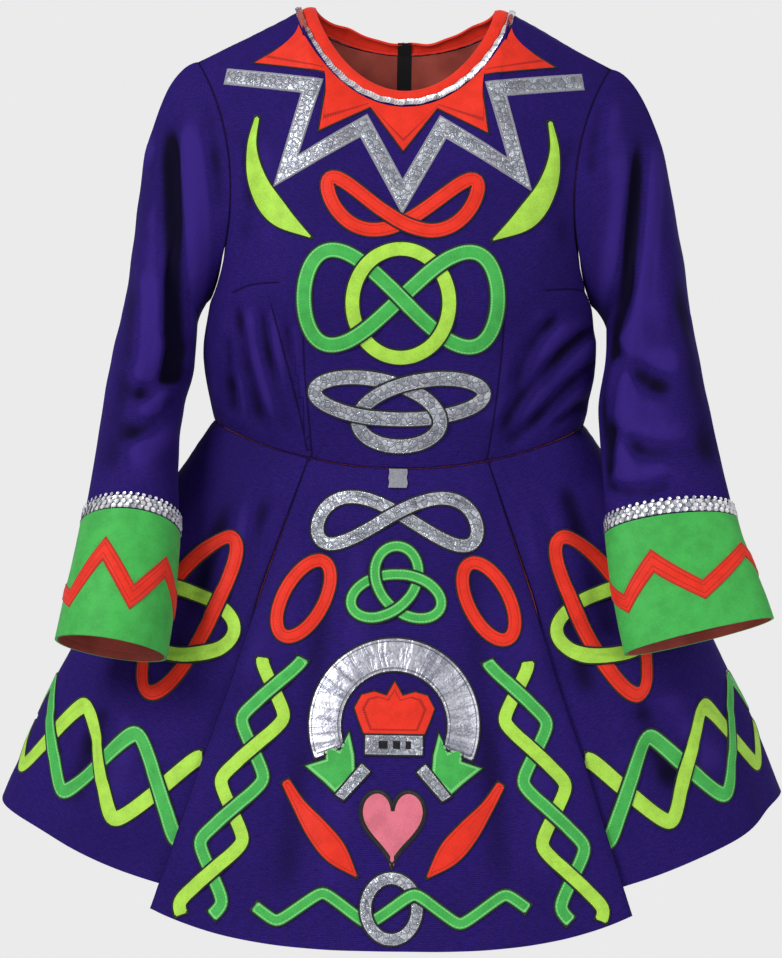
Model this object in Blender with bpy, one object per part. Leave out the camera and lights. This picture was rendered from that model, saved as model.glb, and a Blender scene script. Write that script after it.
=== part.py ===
"""Irish dance dress: long sleeves with cuffs, a bodice and a flared skirt with a proud centre panel.

The dress is a hollow shell in its worn form. Metres, +Z up. The front faces -Y and +X is the viewer's right.
The origin is at the neck, level with the high shoulder points, where a wearer's shoulders carry the dress.
"""
import math
from collections import namedtuple

import bmesh
import bpy
import numpy as np
from mathutils import Matrix, Vector, kdtree
from mathutils.bvhtree import BVHTree

# Cloth
BODICE_WALL = 0.0020
SKIRT_WALL = 0.0028
SLEEVE_WALL = 0.0018
CUFF_WALL = 0.0022
BINDING_WALL = 0.0024
LINING_WALL = 0.0010
SEAM_PULL = 0.0003
SEAM_REACH = 0.001
LAY_GAP = 0.0004

# Neck and shoulders
NECK_HALF = 0.0933
NECK_SHARE = 0.5
SHOULDER_TIP_X = 0.182
SHOULDER_DROP = 0.047
NECK_CURVE = 1.5
BINDING_HALF = 0.0788
BINDING_INSET = 0.006
BINDING_RISE = 0.0030
BINDING_BULGE = 0.0012

# Armholes
ARMHOLE_HEIGHT = 0.211
ARMPIT_X = 0.168
CENTRE_ARMPIT_Z = -0.272
ARM_STEPS = 10
SIDE_STEPS = 4
SIDE_SHARE = 0.4
ARMHOLE_CURVE = 1.8
ARMPIT_TURN = 0.42

# Waist and skirt
WAIST_HALF = 0.163
WAIST_SIDE_Z = -0.361
BUST_HALF = 0.173
BUST_SHARE = 0.62
BUST_AT = (0.074, -0.238)
BUST_REACH = (0.042, 0.050)
BUST_RISE = 0.009
BODICE_SPREAD = 1.7
HEM_HALF = 0.341
HEM_SIDE_Z = {-1: -0.690, 1: -0.678}
HEM_CENTRE_Z = -0.690
SKIRT_STEPS = 10
PANEL_HEM_HALF = 0.200
PANEL_PROUD = 0.0155
CENTRE_HEM_Z = -0.795
CENTRE_HEM_LIFT = 0.028
CENTRE_HEM_CURVE = 3.0
HEM_CURVE = 1.64
FLARE = 0.05
PANEL_TUCK = 0.030
TUCK_DEPTH = 0.0035
ROUNDNESS = 0.87

# The front and the back half of the body. Depths are y at the centre, drops are below the side or the shoulder
# point, and bound_drop is the height of the binding at the centre.
Half = namedtuple(
    "Half", "neck_y neck_drop bound_drop chest bust waist_y waist_dip arm_y arm_hollow hem_y hem_dip")
FRONT = Half(-0.062, 0.088, 0.0115, -0.092, -0.100, -0.075, 0.041, -0.056, 0.026, -0.183, 0.0805)
BACK = Half(0.052, 0.031, 0.0120, 0.084, 0.088, 0.070, 0.010, 0.060, 0.016, 0.180, 0.0600)

# Column places from the centre (0) to the side seam (1). Column PANEL_SEAM is the centre panel's seam.
FRONT_COLUMNS = (0, 0.063, 0.125, 0.188, 0.25, 0.313, 0.40, 0.50, 0.61, 0.73, 0.86, 1)
BACK_COLUMNS = (0, 0.12, 0.25, 0.38, 0.50, 0.61, 0.73, 0.86, 1)
PANEL_SEAM = 5

# Sleeve sections below the shoulder: centre, half width across and girth. Each sleeve's x is outward.
Section = namedtuple("Section", "x y z across girth")
SLEEVES = {
    "left": (
        Section(0.2100, -0.006, -0.270, 0.0325, 0.296),
        Section(0.2135, -0.022, -0.305, 0.0345, 0.286),
        Section(0.2200, -0.044, -0.345, 0.0335, 0.272),
        Section(0.2237, -0.068, -0.395, 0.0354, 0.258),
        Section(0.2245, -0.093, -0.442, 0.0392, 0.252),
        Section(0.2303, -0.127, -0.511, 0.0422, 0.262),
        Section(0.2366, -0.139, -0.556, 0.0424, 0.266),
    ),
    "right": (
        Section(0.2165, -0.008, -0.270, 0.0370, 0.292),
        Section(0.2195, -0.025, -0.305, 0.0415, 0.290),
        Section(0.2201, -0.047, -0.345, 0.0480, 0.280),
        Section(0.2242, -0.064, -0.384, 0.0500, 0.266),
        Section(0.2298, -0.083, -0.428, 0.0530, 0.262),
        Section(0.2365, -0.104, -0.470, 0.0565, 0.262),
        Section(0.2548, -0.124, -0.539, 0.0594, 0.266),
    ),
}
SIGN = {"left": -1, "right": 1}
CAP_RINGS = 5
SLEEVE_RINGS = 9
CAP_SHARE = 0.24
CAP_LEAVE = 0.66
ARMPIT_LEAVE = 0.95
CUFF_START = 0.75
SLEEVE_END = 0.80
CUFF_EASE = 0.0026
CUFF_RINGS = 5
LINING_RINGS = 3
LINING_INSET = 0.0012
LINING_END = 0.985
RING_GAP = 0.004
TRIM_HEIGHT = 0.011
TRIM_SHARE = 0.40
TRIM_WALL = 0.0012
STRING_HALF = 0.003

# Zip at the centre back, and the tab at the waist
BACK_ZIP_HALF = 0.0028
TAPE_HALF = 0.0062
TAPE_WALL = 0.0008
TAPE_CLEAR = 0.0004
CHAIN_HALF = 0.0022
CHAIN_PROUD = 0.0004
CHAIN_FLOOR = 0.0001
ZIP_TOP = 0.003
ZIP_STEPS = 5
ZIP_END_Z = -0.53
SLIDER_DROP = 0.009
SLIDER_OUT = 0.0010
SLIDER_WIDTH = 0.0090
SLIDER_DEEP = 0.0024
SLIDER_LONG = 0.0120
BRIDGE_WIDTH = 0.0022
BRIDGE_LONG = 0.0080
BAR_SIZE = 0.0012
PULL_WIDTH = 0.0060
PULL_LONG = 0.0260
PULL_WINDOW = 0.0048
PULL_PLAY = 0.0005
TAB_SIZE = 0.015
TAB_WALL = 0.0010
TAB_HEAD = 0.0008
TAB_TOP_Z = -0.402
LINING_DROP = 0.0040
LINING_COLUMNS = 5

# Appliques: straps, leaves and the claddagh, which lie on their panels
APPLIQUE_WALL = 0.0010
APPLIQUE_GAP = 0.0005
APPLIQUE_CLEAR = 0.0004
CROSS_RISE = 0.0022
CROSS_MARGIN = 0.004
CROSS_FALL = 0.011
STRAP_STEP = 0.0115
SEATING_PASSES = 10
PROBES = 5

# Closed straps are sums of waves: x adds wide * sin(n t + x_turn) and z adds high * cos(n t + z_turn).
Harmonic = namedtuple("Harmonic", "n wide x_turn high z_turn")
KNOTS = {
    "ring": (Harmonic(1, 1, 0, 1, 0),),
    "eight": (Harmonic(1, 1, 0, 0, 0), Harmonic(2, 0, 0, 1, -90)),
    "bow": (Harmonic(1, 1, 0, 0, 0), Harmonic(2, 0, 0, 1, -135)),
    "arch": (Harmonic(1, 1, 0, 0, 0), Harmonic(2, 0, 0, 1, -69)),
    "trinity": (Harmonic(1, 1, 0, 1, 0), Harmonic(2, 2, 0, -2, 0)),
}

# The closed straps in the plane of the front view: centre, half width, half height, lean in degrees, width
Knot = namedtuple("Knot", "name slot kind x z wide high lean strap")
BODICE_KNOTS = (
    Knot("orange_bow", "orange_crepe", "bow", 0, -0.1775, 0.064, 0.0225, 0, 0.013),
    Knot("green_eight", "green_crepe", "eight", 0, -0.258, 0.082, 0.040, 0, 0.014),
    Knot("lime_ring", "lime_crepe", "ring", 0, -0.262, 0.041, 0.046, 0, 0.013),
    Knot("silver_trinity", "silver_cloth", "trinity", 0, -0.354, 0.072, 0.029, 0, 0.013),
)
PANEL_KNOTS = (
    Knot("silver_arch", "silver_cloth", "arch", 0, -0.447, 0.068, 0.020, 0, 0.012),
    Knot("green_trinity", "green_crepe", "trinity", 0, -0.498, 0.038, 0.030, 180, 0.010),
    Knot("orange_oval_left", "orange_crepe", "ring", -0.078, -0.513, 0.017, 0.035, -28, 0.012),
    Knot("orange_oval_right", "orange_crepe", "ring", 0.078, -0.513, 0.017, 0.035, 28, 0.012),
    Knot("silver_loop", "silver_cloth", "ring", 0, -0.762, 0.021, 0.024, 0, 0.0105),
)

# Side knots and plaits on a side panel: distances in from the centre panel's seam and up from the hem
FLANK_KNOTS = (
    Knot("orange_loop", "orange_crepe", "ring", 0.060, 0.222, 0.023, 0.078, 16, 0.013),
    Knot("lime_loop", "lime_crepe", "ring", 0.068, 0.212, 0.056, 0.027, -12, 0.013),
)
Plait = namedtuple("Plait", "start end base swing wave strap")
HEM_PLAIT = Plait(0.020, 0.232, 0.074, 0.036, 0.124, 0.014)
EDGE_PLAIT = Plait(-0.562, -0.772, 0.033, 0.017, 0.100, 0.012)
PLAIT_ROUNDING = 0.94
WAVE_STRAP = Plait(-0.1125, 0.1125, -0.762, 0.011, 0.075, 0.0105)

# Leaves: a line of places in the front view, with widths
Rib = namedtuple("Rib", "x z width")
LIME_LEAF = (Rib(0.126, -0.100, 0.005), Rib(0.130, -0.128, 0.010), Rib(0.124, -0.158, 0.018),
             Rib(0.106, -0.186, 0.021), Rib(0.076, -0.208, 0.002))
ORANGE_LEAF = (Rib(0.090, -0.662, 0.008), Rib(0.078, -0.681, 0.012), Rib(0.062, -0.701, 0.020),
               Rib(0.046, -0.719, 0.020), Rib(0.028, -0.738, 0.002))
LEAF_STEPS = 12

# Yoke: half of the silver zigzag, then half of the orange points, each with its turn round the neck seam
ZIGZAG = ((0.157, -0.062), (0.079, -0.074), (0.100, -0.149), (0.034, -0.109), (0.0, -0.171))
ZIGZAG_STRAP = 0.0135
Point = namedtuple("Point", "x z turn")
YOKE_POINTS = (Point(0.098, -0.031, 72), Point(0.132, -0.051, 64), Point(0.066, -0.062, 50),
               Point(0.073, -0.115, 38), Point(0.029, -0.093, 21), Point(0.0, -0.132, 0))
YOKE_INSET = 0.0055
YOKE_ACROSS = 4
YOKE_STEP = 0.01495

# Claddagh: the ring's middle radius and ends, the heart's scale, and the outlines of the crown and of a hand
RING_AT = (0.0, -0.616)
RING_RADIUS = 0.0577
RING_WIDTH = 0.028
RING_END = 24
HEART_AT = (0.0, -0.694)
HEART_WIDE = 0.0265
HEART_HIGH = 0.00207
CROWN = ((0.0, -0.579), (0.007, -0.591), (0.017, -0.588), (0.028, -0.591), (0.034, -0.602), (0.030, -0.613),
         (0.025, -0.625))
CROWN_MIDDLE = (0.0, -0.606)
HAND = ((0.031, -0.657), (0.032, -0.640), (0.037, -0.620), (0.045, -0.636), (0.058, -0.630), (0.057, -0.644),
        (0.075, -0.650), (0.058, -0.663), (0.048, -0.672))
HAND_MIDDLE = (0.046, -0.652)

# Cuff zigzags: facets of the cuff at the corners, and heights up its side as shares
Corner = namedtuple("Corner", "facet height")
CUFF_ZIGZAG = {
    "left": (Corner(0, 0.42), Corner(2, 0.30), Corner(4, 0.66), Corner(6, 0.34), Corner(8, 0.62),
             Corner(10, 0.38), Corner(12, 0.66), Corner(14, 0.34), Corner(17, 0.68)),
    "right": (Corner(0, 0.42), Corner(2, 0.34), Corner(4, 0.70), Corner(7, 0.30), Corner(9, 0.60),
              Corner(11, 0.40), Corner(13, 0.66), Corner(15, 0.34), Corner(18, 0.64)),
}
CUFF_STRAP = 0.011

# Folds of the sleeves: places along the sleeve (0 armhole, 1 mouth) and angles round the arm (0 outside, 90
# front, 180 inside) at the start and end, half width in degrees, and depth.
SleeveFold = namedtuple("SleeveFold", "start from_angle end to_angle width depth")
SLEEVE_FOLDS = {
    "left": (
        SleeveFold(0.06, 58, 0.52, 112, 17, 0.0065),
        SleeveFold(0.10, 100, 0.34, 150, 18, 0.0035),
        SleeveFold(0.12, 290, 0.45, 240, 20, 0.0045),
    ),
    "right": (
        SleeveFold(0.06, 66, 0.55, 128, 17, 0.0070),
        SleeveFold(0.22, 48, 0.60, 112, 15, 0.0040),
        SleeveFold(0.12, 300, 0.48, 235, 20, 0.0045),
    ),
}

# Folds of the bodice front and back, in the plane of the front view
BodiceFold = namedtuple("BodiceFold", "x0 z0 x1 z1 width depth")
FRONT_FOLDS = (
    BodiceFold(0.168, -0.285, 0.084, -0.392, 0.0085, 0.0035),
    BodiceFold(0.166, -0.322, 0.088, -0.398, 0.0075, 0.0030),
    BodiceFold(-0.140, -0.280, -0.118, -0.380, 0.0090, 0.0028),
    BodiceFold(-0.112, -0.268, -0.084, -0.394, 0.0070, 0.0022),
)
BACK_FOLDS = (
    BodiceFold(0.150, -0.290, 0.075, -0.372, 0.0110, 0.0030),
    BodiceFold(-0.152, -0.300, -0.080, -0.370, 0.0110, 0.0032),
)

# Waves of the skirt: centre angle from the front (0) by the side (90) to the back (180), half width, and depth
# at the hem, which is negative for a ridge
Wave = namedtuple("Wave", "angle width depth")
SKIRT_WAVES = {
    1: (Wave(57, 8, -0.004), Wave(74, 9, 0.005), Wave(108, 9, -0.006), Wave(127, 9, 0.008),
        Wave(146, 9, -0.006), Wave(163, 8, 0.006)),
    -1: (Wave(60, 9, 0.004), Wave(77, 8, -0.004), Wave(104, 9, 0.006), Wave(122, 9, -0.006),
         Wave(142, 10, 0.008), Wave(165, 8, -0.005)),
}

COLOURS = {
    "purple_wool": ((0.031, 0.012, 0.188), 0.85, 0.0),
    "green_crepe": ((0.080, 0.540, 0.115), 0.70, 0.0),
    "lime_crepe": ((0.480, 0.870, 0.140), 0.70, 0.0),
    "orange_crepe": ((1.000, 0.045, 0.013), 0.70, 0.0),
    "pink_crepe": ((0.870, 0.210, 0.320), 0.70, 0.0),
    "silver_cloth": ((0.420, 0.430, 0.520), 0.30, 0.6),
    "red_lining": ((0.350, 0.045, 0.032), 0.55, 0.0),
    "black_tape": ((0.010, 0.010, 0.012), 0.80, 0.0),
    "zip_metal": ((0.300, 0.300, 0.310), 0.35, 1.0),
}


def material(slot):
    """The Principled material of one cloth or metal."""
    made = bpy.data.materials.get(slot)
    if made is None:
        made = bpy.data.materials.new(slot)
        made.use_nodes = True
        colour, roughness, metallic = COLOURS[slot]
        shader = made.node_tree.nodes["Principled BSDF"]
        shader.inputs["Base Color"].default_value = (*colour, 1)
        shader.inputs["Roughness"].default_value = roughness
        shader.inputs["Metallic"].default_value = metallic
    return made


def smooth(x):
    x = np.clip(x, 0.0, 1.0)
    return x * x * (3 - 2 * x)


def unit(v):
    return v / np.maximum(np.linalg.norm(v, axis=-1, keepdims=True), 1e-12)


def through(places, values, at):
    """A smooth cubic curve through values at places, read at one place."""
    places = np.asarray(places, float)
    values = np.asarray(values, float)
    slopes = np.gradient(values, places, axis=0)
    k = int(np.clip(np.searchsorted(places, at) - 1, 0, len(places) - 2))
    span = places[k + 1] - places[k]
    f = (at - places[k]) / span
    ends = values[k] * (1 + 2 * f) * (1 - f) ** 2 + values[k + 1] * f * f * (3 - 2 * f)
    return ends + span * (slopes[k] * f * (1 - f) ** 2 - slopes[k + 1] * f * f * (1 - f))


def arc(angle):
    """How far a section has gone back at an angle from the front. It is a little squarer than round."""
    return np.sign(math.cos(angle)) * abs(math.cos(angle)) ** ROUNDNESS


def armhole(psi, half):
    """The armhole's edge: psi runs from 0 at the shoulder tip to pi at the armpit."""
    level = (1 + math.cos(psi)) / 2
    hollow = math.sin(psi)
    x = ARMPIT_X + (SHOULDER_TIP_X - ARMPIT_X) * level - half.arm_hollow * hollow ** ARMHOLE_CURVE
    return np.array((x, half.arm_y * hollow, -SHOULDER_DROP - ARMHOLE_HEIGHT * (1 - level)))


def top_edge(s, half):
    """The neck seam from the centre to the high shoulder point, then the shoulder seam out to its tip."""
    if s <= NECK_SHARE:
        turn = math.pi / 2 * s / NECK_SHARE
        fall = max(math.cos(turn), 0.0)
        return np.array((NECK_HALF * math.sin(turn), half.neck_y * fall, -half.neck_drop * fall ** NECK_CURVE))
    f = (s - NECK_SHARE) / (1 - NECK_SHARE)
    return np.array((NECK_HALF + (SHOULDER_TIP_X - NECK_HALF) * f, 0.0, -SHOULDER_DROP * f))


def fold_depth(x, z, folds):
    """How deep the folds are at a point of the front view."""
    total = 0.0
    for fold in folds:
        run = np.array((fold.x1 - fold.x0, fold.z1 - fold.z0))
        away = np.array((x - fold.x0, z - fold.z0))
        along = float(away @ run / (run @ run))
        across = abs(float(away[0] * run[1] - away[1] * run[0])) / math.hypot(*run)
        fade = float(smooth(along / 0.25) * smooth((1.05 - along) / 0.25))
        total += fold.depth * fade * math.exp(-(across / fold.width) ** 2)
    return total


def bodice_point(s, t, side, half):
    """The bodice's outer face: s from the centre to the side, t from the waist to the top, side -1 or 1."""
    phi = math.pi / 2 * s
    low = min(t / SIDE_SHARE, 1.0)
    high = max(t - SIDE_SHARE, 0.0) / (1 - SIDE_SHARE)
    level = (1 - math.cos(math.pi * high)) / 2
    centre_low = WAIST_SIDE_Z - half.waist_dip
    centre_top = -half.neck_drop
    if high > 0:
        edge = armhole(math.pi * (1 - high), half)
        centre_z = CENTRE_ARMPIT_Z + (centre_top - CENTRE_ARMPIT_Z) * level
    else:
        edge_x = float(through((0, BUST_SHARE, 1), (WAIST_HALF, BUST_HALF, ARMPIT_X), low))
        edge = np.array((edge_x, 0.0, WAIST_SIDE_Z + (-SHOULDER_DROP - ARMHOLE_HEIGHT - WAIST_SIDE_Z) * low))
        centre_z = centre_low + (CENTRE_ARMPIT_Z - centre_low) * low
    below_bust = half.waist_y + 0.55 * (half.bust - half.waist_y)
    depths = (half.waist_y, below_bust, half.bust, half.chest, half.neck_y)
    heights = (0, 0.5 * SIDE_SHARE, SIDE_SHARE, SIDE_SHARE + 0.5 * (1 - SIDE_SHARE), 1)
    centre_y = float(through(heights, depths, t))
    wrap = 1 - ARMPIT_TURN * float(smooth(high * 2.0))
    x = edge[0] * math.sin(wrap * phi) / math.sin(wrap * math.pi / 2)
    back = (1 - arc(wrap * phi)) / (1 - arc(wrap * math.pi / 2))
    y = centre_y + (edge[1] - centre_y) * back
    spread = 1 - abs(math.cos(phi)) ** BODICE_SPREAD
    z = centre_z + (edge[2] - centre_z) * spread
    top, tip, middle = top_edge(s, half), top_edge(1.0, half), top_edge(0.0, half)
    near = float(smooth((high - 0.15) / 0.85))
    x += near * (top[0] * edge[0] / tip[0] - x)
    z += near * (top[2] - middle[2] - (tip[2] - middle[2]) * spread)
    rounding = 1 - math.sqrt(max(1 - level ** 3, 0.0))
    y += rounding * (top[1] - y)
    if half is FRONT:
        gap = ((x - BUST_AT[0]) / BUST_REACH[0]) ** 2 + ((z - BUST_AT[1]) / BUST_REACH[1]) ** 2
        y -= BUST_RISE * math.exp(-gap)
    folds = FRONT_FOLDS if half is FRONT else BACK_FOLDS
    y -= math.copysign(fold_depth(side * x, z, folds) * float(smooth(t / 0.08)), half.bust)
    return np.array((side * x, y, z))


def skirt_width(t):
    """The skirt's half width at the share t of the way from the waist to the hem."""
    return WAIST_HALF + (HEM_HALF - WAIST_HALF) * t + FLARE * t * (1 - t)


def skirt_shape(s, t, side, half):
    """The skirt's outer face on its round form: s from the centre to the side, t from waist to hem."""
    phi = math.pi / 2 * s
    width = skirt_width(t)
    depth = half.waist_y + (half.hem_y - half.waist_y) * t
    z_waist = bodice_point(s, 0.0, side, half)[2]
    side_z = HEM_SIDE_Z[side]
    z_hem = side_z - (half.hem_dip + side_z - HEM_CENTRE_Z) * abs(math.cos(phi)) ** HEM_CURVE
    angle = math.degrees(phi) if half is FRONT else 180 - math.degrees(phi)
    swell = sum(wave.depth * math.exp(-((angle - wave.angle) / wave.width) ** 2)
                for wave in SKIRT_WAVES[side])
    swell *= float(smooth(t * 1.1)) * t
    x = (width - swell * math.sin(phi)) * math.sin(phi)
    y = depth * arc(phi) - math.copysign(swell * arc(phi), depth)
    return np.array((side * x, y, z_waist + (z_hem - z_waist) * t))


def panel_half(t):
    return WAIST_HALF * math.sin(math.pi / 2 * FRONT_COLUMNS[PANEL_SEAM]) * (1 - t) + PANEL_HEM_HALF * t


def centre_panel_point(c, t):
    """The centre panel: c from -1 to 1 between its seams. It stands proud of the skirt's round form."""
    side = -1 if c < 0 else 1
    x = panel_half(t) * abs(c)
    ratio = min(x / skirt_width(t), 1.0)
    depth = FRONT.waist_y + (FRONT.hem_y - FRONT.waist_y) * t
    s = math.asin(ratio) * 2 / math.pi
    z_waist = bodice_point(s, 0.0, side, FRONT)[2]
    z_hem = CENTRE_HEM_Z + CENTRE_HEM_LIFT * abs(c) ** CENTRE_HEM_CURVE
    y = depth * arc(math.asin(ratio)) - PANEL_PROUD * t ** 0.8
    return np.array((side * x, y, z_waist + (z_hem - z_waist) * t))


def side_panel_point(f, t, side):
    """A side panel: f from 0 at the edge tucked behind the centre panel to 1 at the side seam."""
    tuck = PANEL_TUCK * float(smooth((t - 0.28) / 0.6))
    start = math.asin(min((panel_half(t) - tuck) / skirt_width(t), 1.0)) * 2 / math.pi
    place = start + (1 - start) * f
    point = skirt_shape(place, t, side, FRONT)
    inward = TUCK_DEPTH * float(smooth((t - 0.2) / 0.5)) * math.exp(-(f / 0.10) ** 2)
    return point + np.array((0, inward, 0))


def half_depth(across, girth):
    """The half depth of an oval section from its half width and its girth."""
    low, high = 0.001, 0.2
    for _ in range(40):
        mid = (low + high) / 2
        total = math.pi * (3 * (across + mid) - math.sqrt((3 * across + mid) * (across + 3 * mid)))
        low, high = (mid, high) if total < girth else (low, mid)
    return low


def sleeve_point(psi, w, side):
    """A sleeve's outer face: psi round the arm, 0 outside and a quarter turn in front, and w from the armhole
    (0) to the mouth (1)."""
    sections = SLEEVES[side]
    sign = SIGN[side]
    lengths = [0.0]
    for a, b in zip(sections, sections[1:]):
        lengths.append(lengths[-1] + math.dist(a[:3], b[:3]))
    cap = CAP_SHARE
    places = [cap + (1 - cap) * run / lengths[-1] for run in lengths]
    table = [(p.x, p.y, p.z, p.across, half_depth(p.across, p.girth)) for p in sections]

    def ring(at):
        x, y, z, across, deep = through(places, table, at)
        ahead = through(places, table, min(at + 0.02, 1.0))[:3]
        behind = through(places, table, max(at - 0.02, cap))[:3]
        down = unit(ahead - behind)
        out = unit(np.array((1.0, 0, 0)) - down * down[0])
        front = np.cross(out, down)
        front = front if front[1] < 0 else -front
        return np.array((x, y, z)) + across * math.cos(psi) * out + deep * math.sin(psi) * front, down

    if w >= cap:
        point, down = ring(w)
    else:
        end, down = ring(cap)
        half = FRONT if math.sin(psi) >= 0 else BACK
        turn = psi if psi <= math.pi else 2 * math.pi - psi
        begin = bodice_point(1.0, SIDE_SHARE + (1 - SIDE_SHARE) * (1 - turn / math.pi), sign, half)
        begin[0] *= sign
        reach = np.linalg.norm(end - begin)
        low = (1 - math.cos(turn)) / 2
        leave = unit(np.array((1.0, 0.0, -0.28 - 0.35 * low))) * reach
        leave *= CAP_LEAVE + (ARMPIT_LEAVE - CAP_LEAVE) * low
        arrive = down * reach * (0.9 if turn < 2.2 else 0.7)
        f = w / cap
        point = (begin * (1 + 2 * f) * (1 - f) ** 2 + end * f * f * (3 - 2 * f)
                 + leave * f * (1 - f) ** 2 - arrive * f * f * (1 - f))
    middle = through(places, table, max(w, cap))[:3]
    degrees = math.degrees(psi)
    sink = 0.0
    for fold in SLEEVE_FOLDS[side]:
        along = (w - fold.start) / (fold.end - fold.start)
        line = fold.from_angle + (fold.to_angle - fold.from_angle) * along
        fade = float(smooth(along / 0.3) * smooth((1.1 - along) / 0.35))
        sink += fold.depth * fade * math.exp(-((degrees - line) / fold.width) ** 2)
    inward = unit((middle - point) * np.array((1, 1, 0.2)))
    point = point + inward * sink
    return point * np.array((sign, 1, 1))


def normals(grid, wrap=False):
    """Unit normals of a grid of points, from its neighbours."""
    if wrap:
        grid = np.concatenate((grid[:, -1:], grid, grid[:, :1]), axis=1)
    along = np.gradient(grid, axis=1)
    up = np.gradient(grid, axis=0)
    n = unit(np.cross(along, up))
    return n[:, 1:-1] if wrap else n


def pull_in(grid, edges):
    """Draws the named edges of a grid in by half a seam's gap."""
    grid = grid.copy()
    moves = {"bottom": (0, 1), "top": (-1, -2)}
    for edge in edges:
        if edge in moves:
            a, b = moves[edge]
            grid[a] += unit(grid[b] - grid[a]) * SEAM_PULL
        else:
            a, b = (0, 1) if edge == "left" else (-1, -2)
            grid[:, a] += unit(grid[:, b] - grid[:, a]) * SEAM_PULL
    return grid


def wall(name, slot, outer, inner, wrap=False):
    """One closed wall between two grids of points, joined by its rims."""
    rows, columns = outer.shape[:2]
    points = np.concatenate((outer.reshape(-1, 3), inner.reshape(-1, 3)))
    base = rows * columns
    last = columns if wrap else columns - 1
    faces = []
    for r in range(rows - 1):
        for c in range(last):
            d = (c + 1) % columns
            near, far = r * columns, (r + 1) * columns
            for corner in ((near + c, near + d, far + d), (near + c, far + d, far + c)):
                faces.append(corner)
                faces.append(tuple(base + k for k in reversed(corner)))
    rim = []
    for c in range(last):
        d = (c + 1) % columns
        rim.append((d, c))
        rim.append(((rows - 1) * columns + c, (rows - 1) * columns + d))
    if not wrap:
        for r in range(rows - 1):
            rim.append((r * columns, (r + 1) * columns))
            rim.append(((r + 2) * columns - 1, (r + 1) * columns - 1))
    faces += [(a, b, base + b, base + a) for a, b in rim]
    return solid(name, slot, points, faces)


def solid(name, slot, points, faces):
    """A named object from points and faces, in the dress's collection, with its faces turned out."""
    mesh = bpy.data.meshes.new(name)
    mesh.from_pydata([tuple(float(v) for v in p) for p in points], [], faces)
    form = bmesh.new()
    form.from_mesh(mesh)
    bmesh.ops.recalc_face_normals(form, faces=form.faces)
    form.to_mesh(mesh)
    form.free()
    mesh.shade_smooth()
    mesh.set_sharp_from_angle(angle=math.radians(40))
    mesh.materials.append(material(slot))
    made = bpy.data.objects.new(name, mesh)
    bpy.data.collections["irish_dance_dress"].objects.link(made)
    return made


def clear_scene():
    for old in list(bpy.data.objects):
        bpy.data.objects.remove(old)
    made = bpy.data.collections.new("irish_dance_dress")
    bpy.context.scene.collection.children.link(made)


def grid_of(rows, columns, point):
    return np.array([[point(r, c) for c in columns] for r in rows])


class Panel:
    """One cloth piece: its outer points, its thickness and which of its edges meet a seam."""

    def __init__(self, name, slot, grid, thick, seams=(), wrap=False):
        self.name, self.slot, self.grid, self.thick = name, slot, grid, thick
        self.seams, self.wrap = seams, wrap
        self.normals = normals(grid, wrap)
        self.lifts = self.normals.copy()

    def border(self):
        rows, columns = self.grid.shape[:2]
        ends = [(r, c) for r in (0, rows - 1) for c in range(columns)]
        sides = [] if self.wrap else [(r, c) for r in range(1, rows - 1) for c in (0, columns - 1)]
        return ends + sides

    def build(self):
        outer = pull_in(self.grid, self.seams)
        if self.name.startswith(("bodice_back", "skirt_back")):
            centre = 0 if self.name.endswith("left") else -1
            zipped = self.grid[:, centre, 2] > ZIP_END_Z
            outer[zipped, centre, 0] = SIGN[self.name.split("_")[2]] * BACK_ZIP_HALF
        return wall(self.name, self.slot, outer, outer - self.lifts * self.thick, self.wrap)

    def spot(self, row, column):
        """The outer face at fractional row and column: its point and its normal."""
        last_row, last_column = self.grid.shape[0] - 2, self.grid.shape[1] - 2
        r = int(np.clip(math.floor(row), 0, last_row))
        c = int(np.clip(math.floor(column), 0, last_column))
        a, b = row - r, column - c
        weights = ((r, c, (1 - a) * (1 - b)), (r, c + 1, (1 - a) * b),
                   (r + 1, c, a * (1 - b)), (r + 1, c + 1, a * b))
        point = sum(self.grid[i, j] * w for i, j, w in weights)
        return point, unit(sum(self.normals[i, j] * w for i, j, w in weights))

    def at(self, row, column, out=0.0):
        point, normal = self.spot(row, column)
        return point + normal * out

    def find(self, x, z):
        """The fractional row and column whose point has this x and z in the front view."""
        gap = (self.grid[..., 0] - x) ** 2 + (self.grid[..., 2] - z) ** 2
        row, column = (float(k) for k in np.unravel_index(np.argmin(gap), gap.shape))
        for _ in range(12):
            here = self.at(row, column)
            step = 1e-3
            down = (self.at(row + step, column) - here) / step
            across = (self.at(row, column + step) - here) / step
            m = np.array(((down[0], across[0]), (down[2], across[2])))
            move = np.linalg.solve(m, np.array((x - here[0], z - here[2])))
            row, column = row + float(np.clip(move[0], -1, 1)), column + float(np.clip(move[1], -1, 1))
        return row, column

    def over(self, x, z, out):
        return self.at(*self.find(x, z), out)

    def front_spot(self, x, z):
        return self.spot(*self.find(x, z))

    def flank_spot(self, inward, up, sign):
        """The face at distances along its row from the centre panel's side, and up from the hem."""
        grid = self.grid if sign > 0 else self.grid[:, ::-1]
        column = 0.0
        for _ in range(4):
            c = int(np.clip(math.floor(column), 0, grid.shape[1] - 2))
            line = grid[:, c] + (grid[:, c + 1] - grid[:, c]) * (column - c)
            rise = np.concatenate(((0,), np.cumsum(np.linalg.norm(np.diff(line, axis=0), axis=1))))
            row = float(np.interp(up, rise, np.arange(len(rise))))
            r = int(np.clip(math.floor(row), 0, grid.shape[0] - 2))
            level = grid[r] + (grid[r + 1] - grid[r]) * (row - r)
            run = np.concatenate(((0,), np.cumsum(np.linalg.norm(np.diff(level, axis=0), axis=1))))
            column = float(np.interp(inward, run, np.arange(len(run))))
        return self.spot(row, column if sign > 0 else grid.shape[1] - 1 - column)


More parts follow.
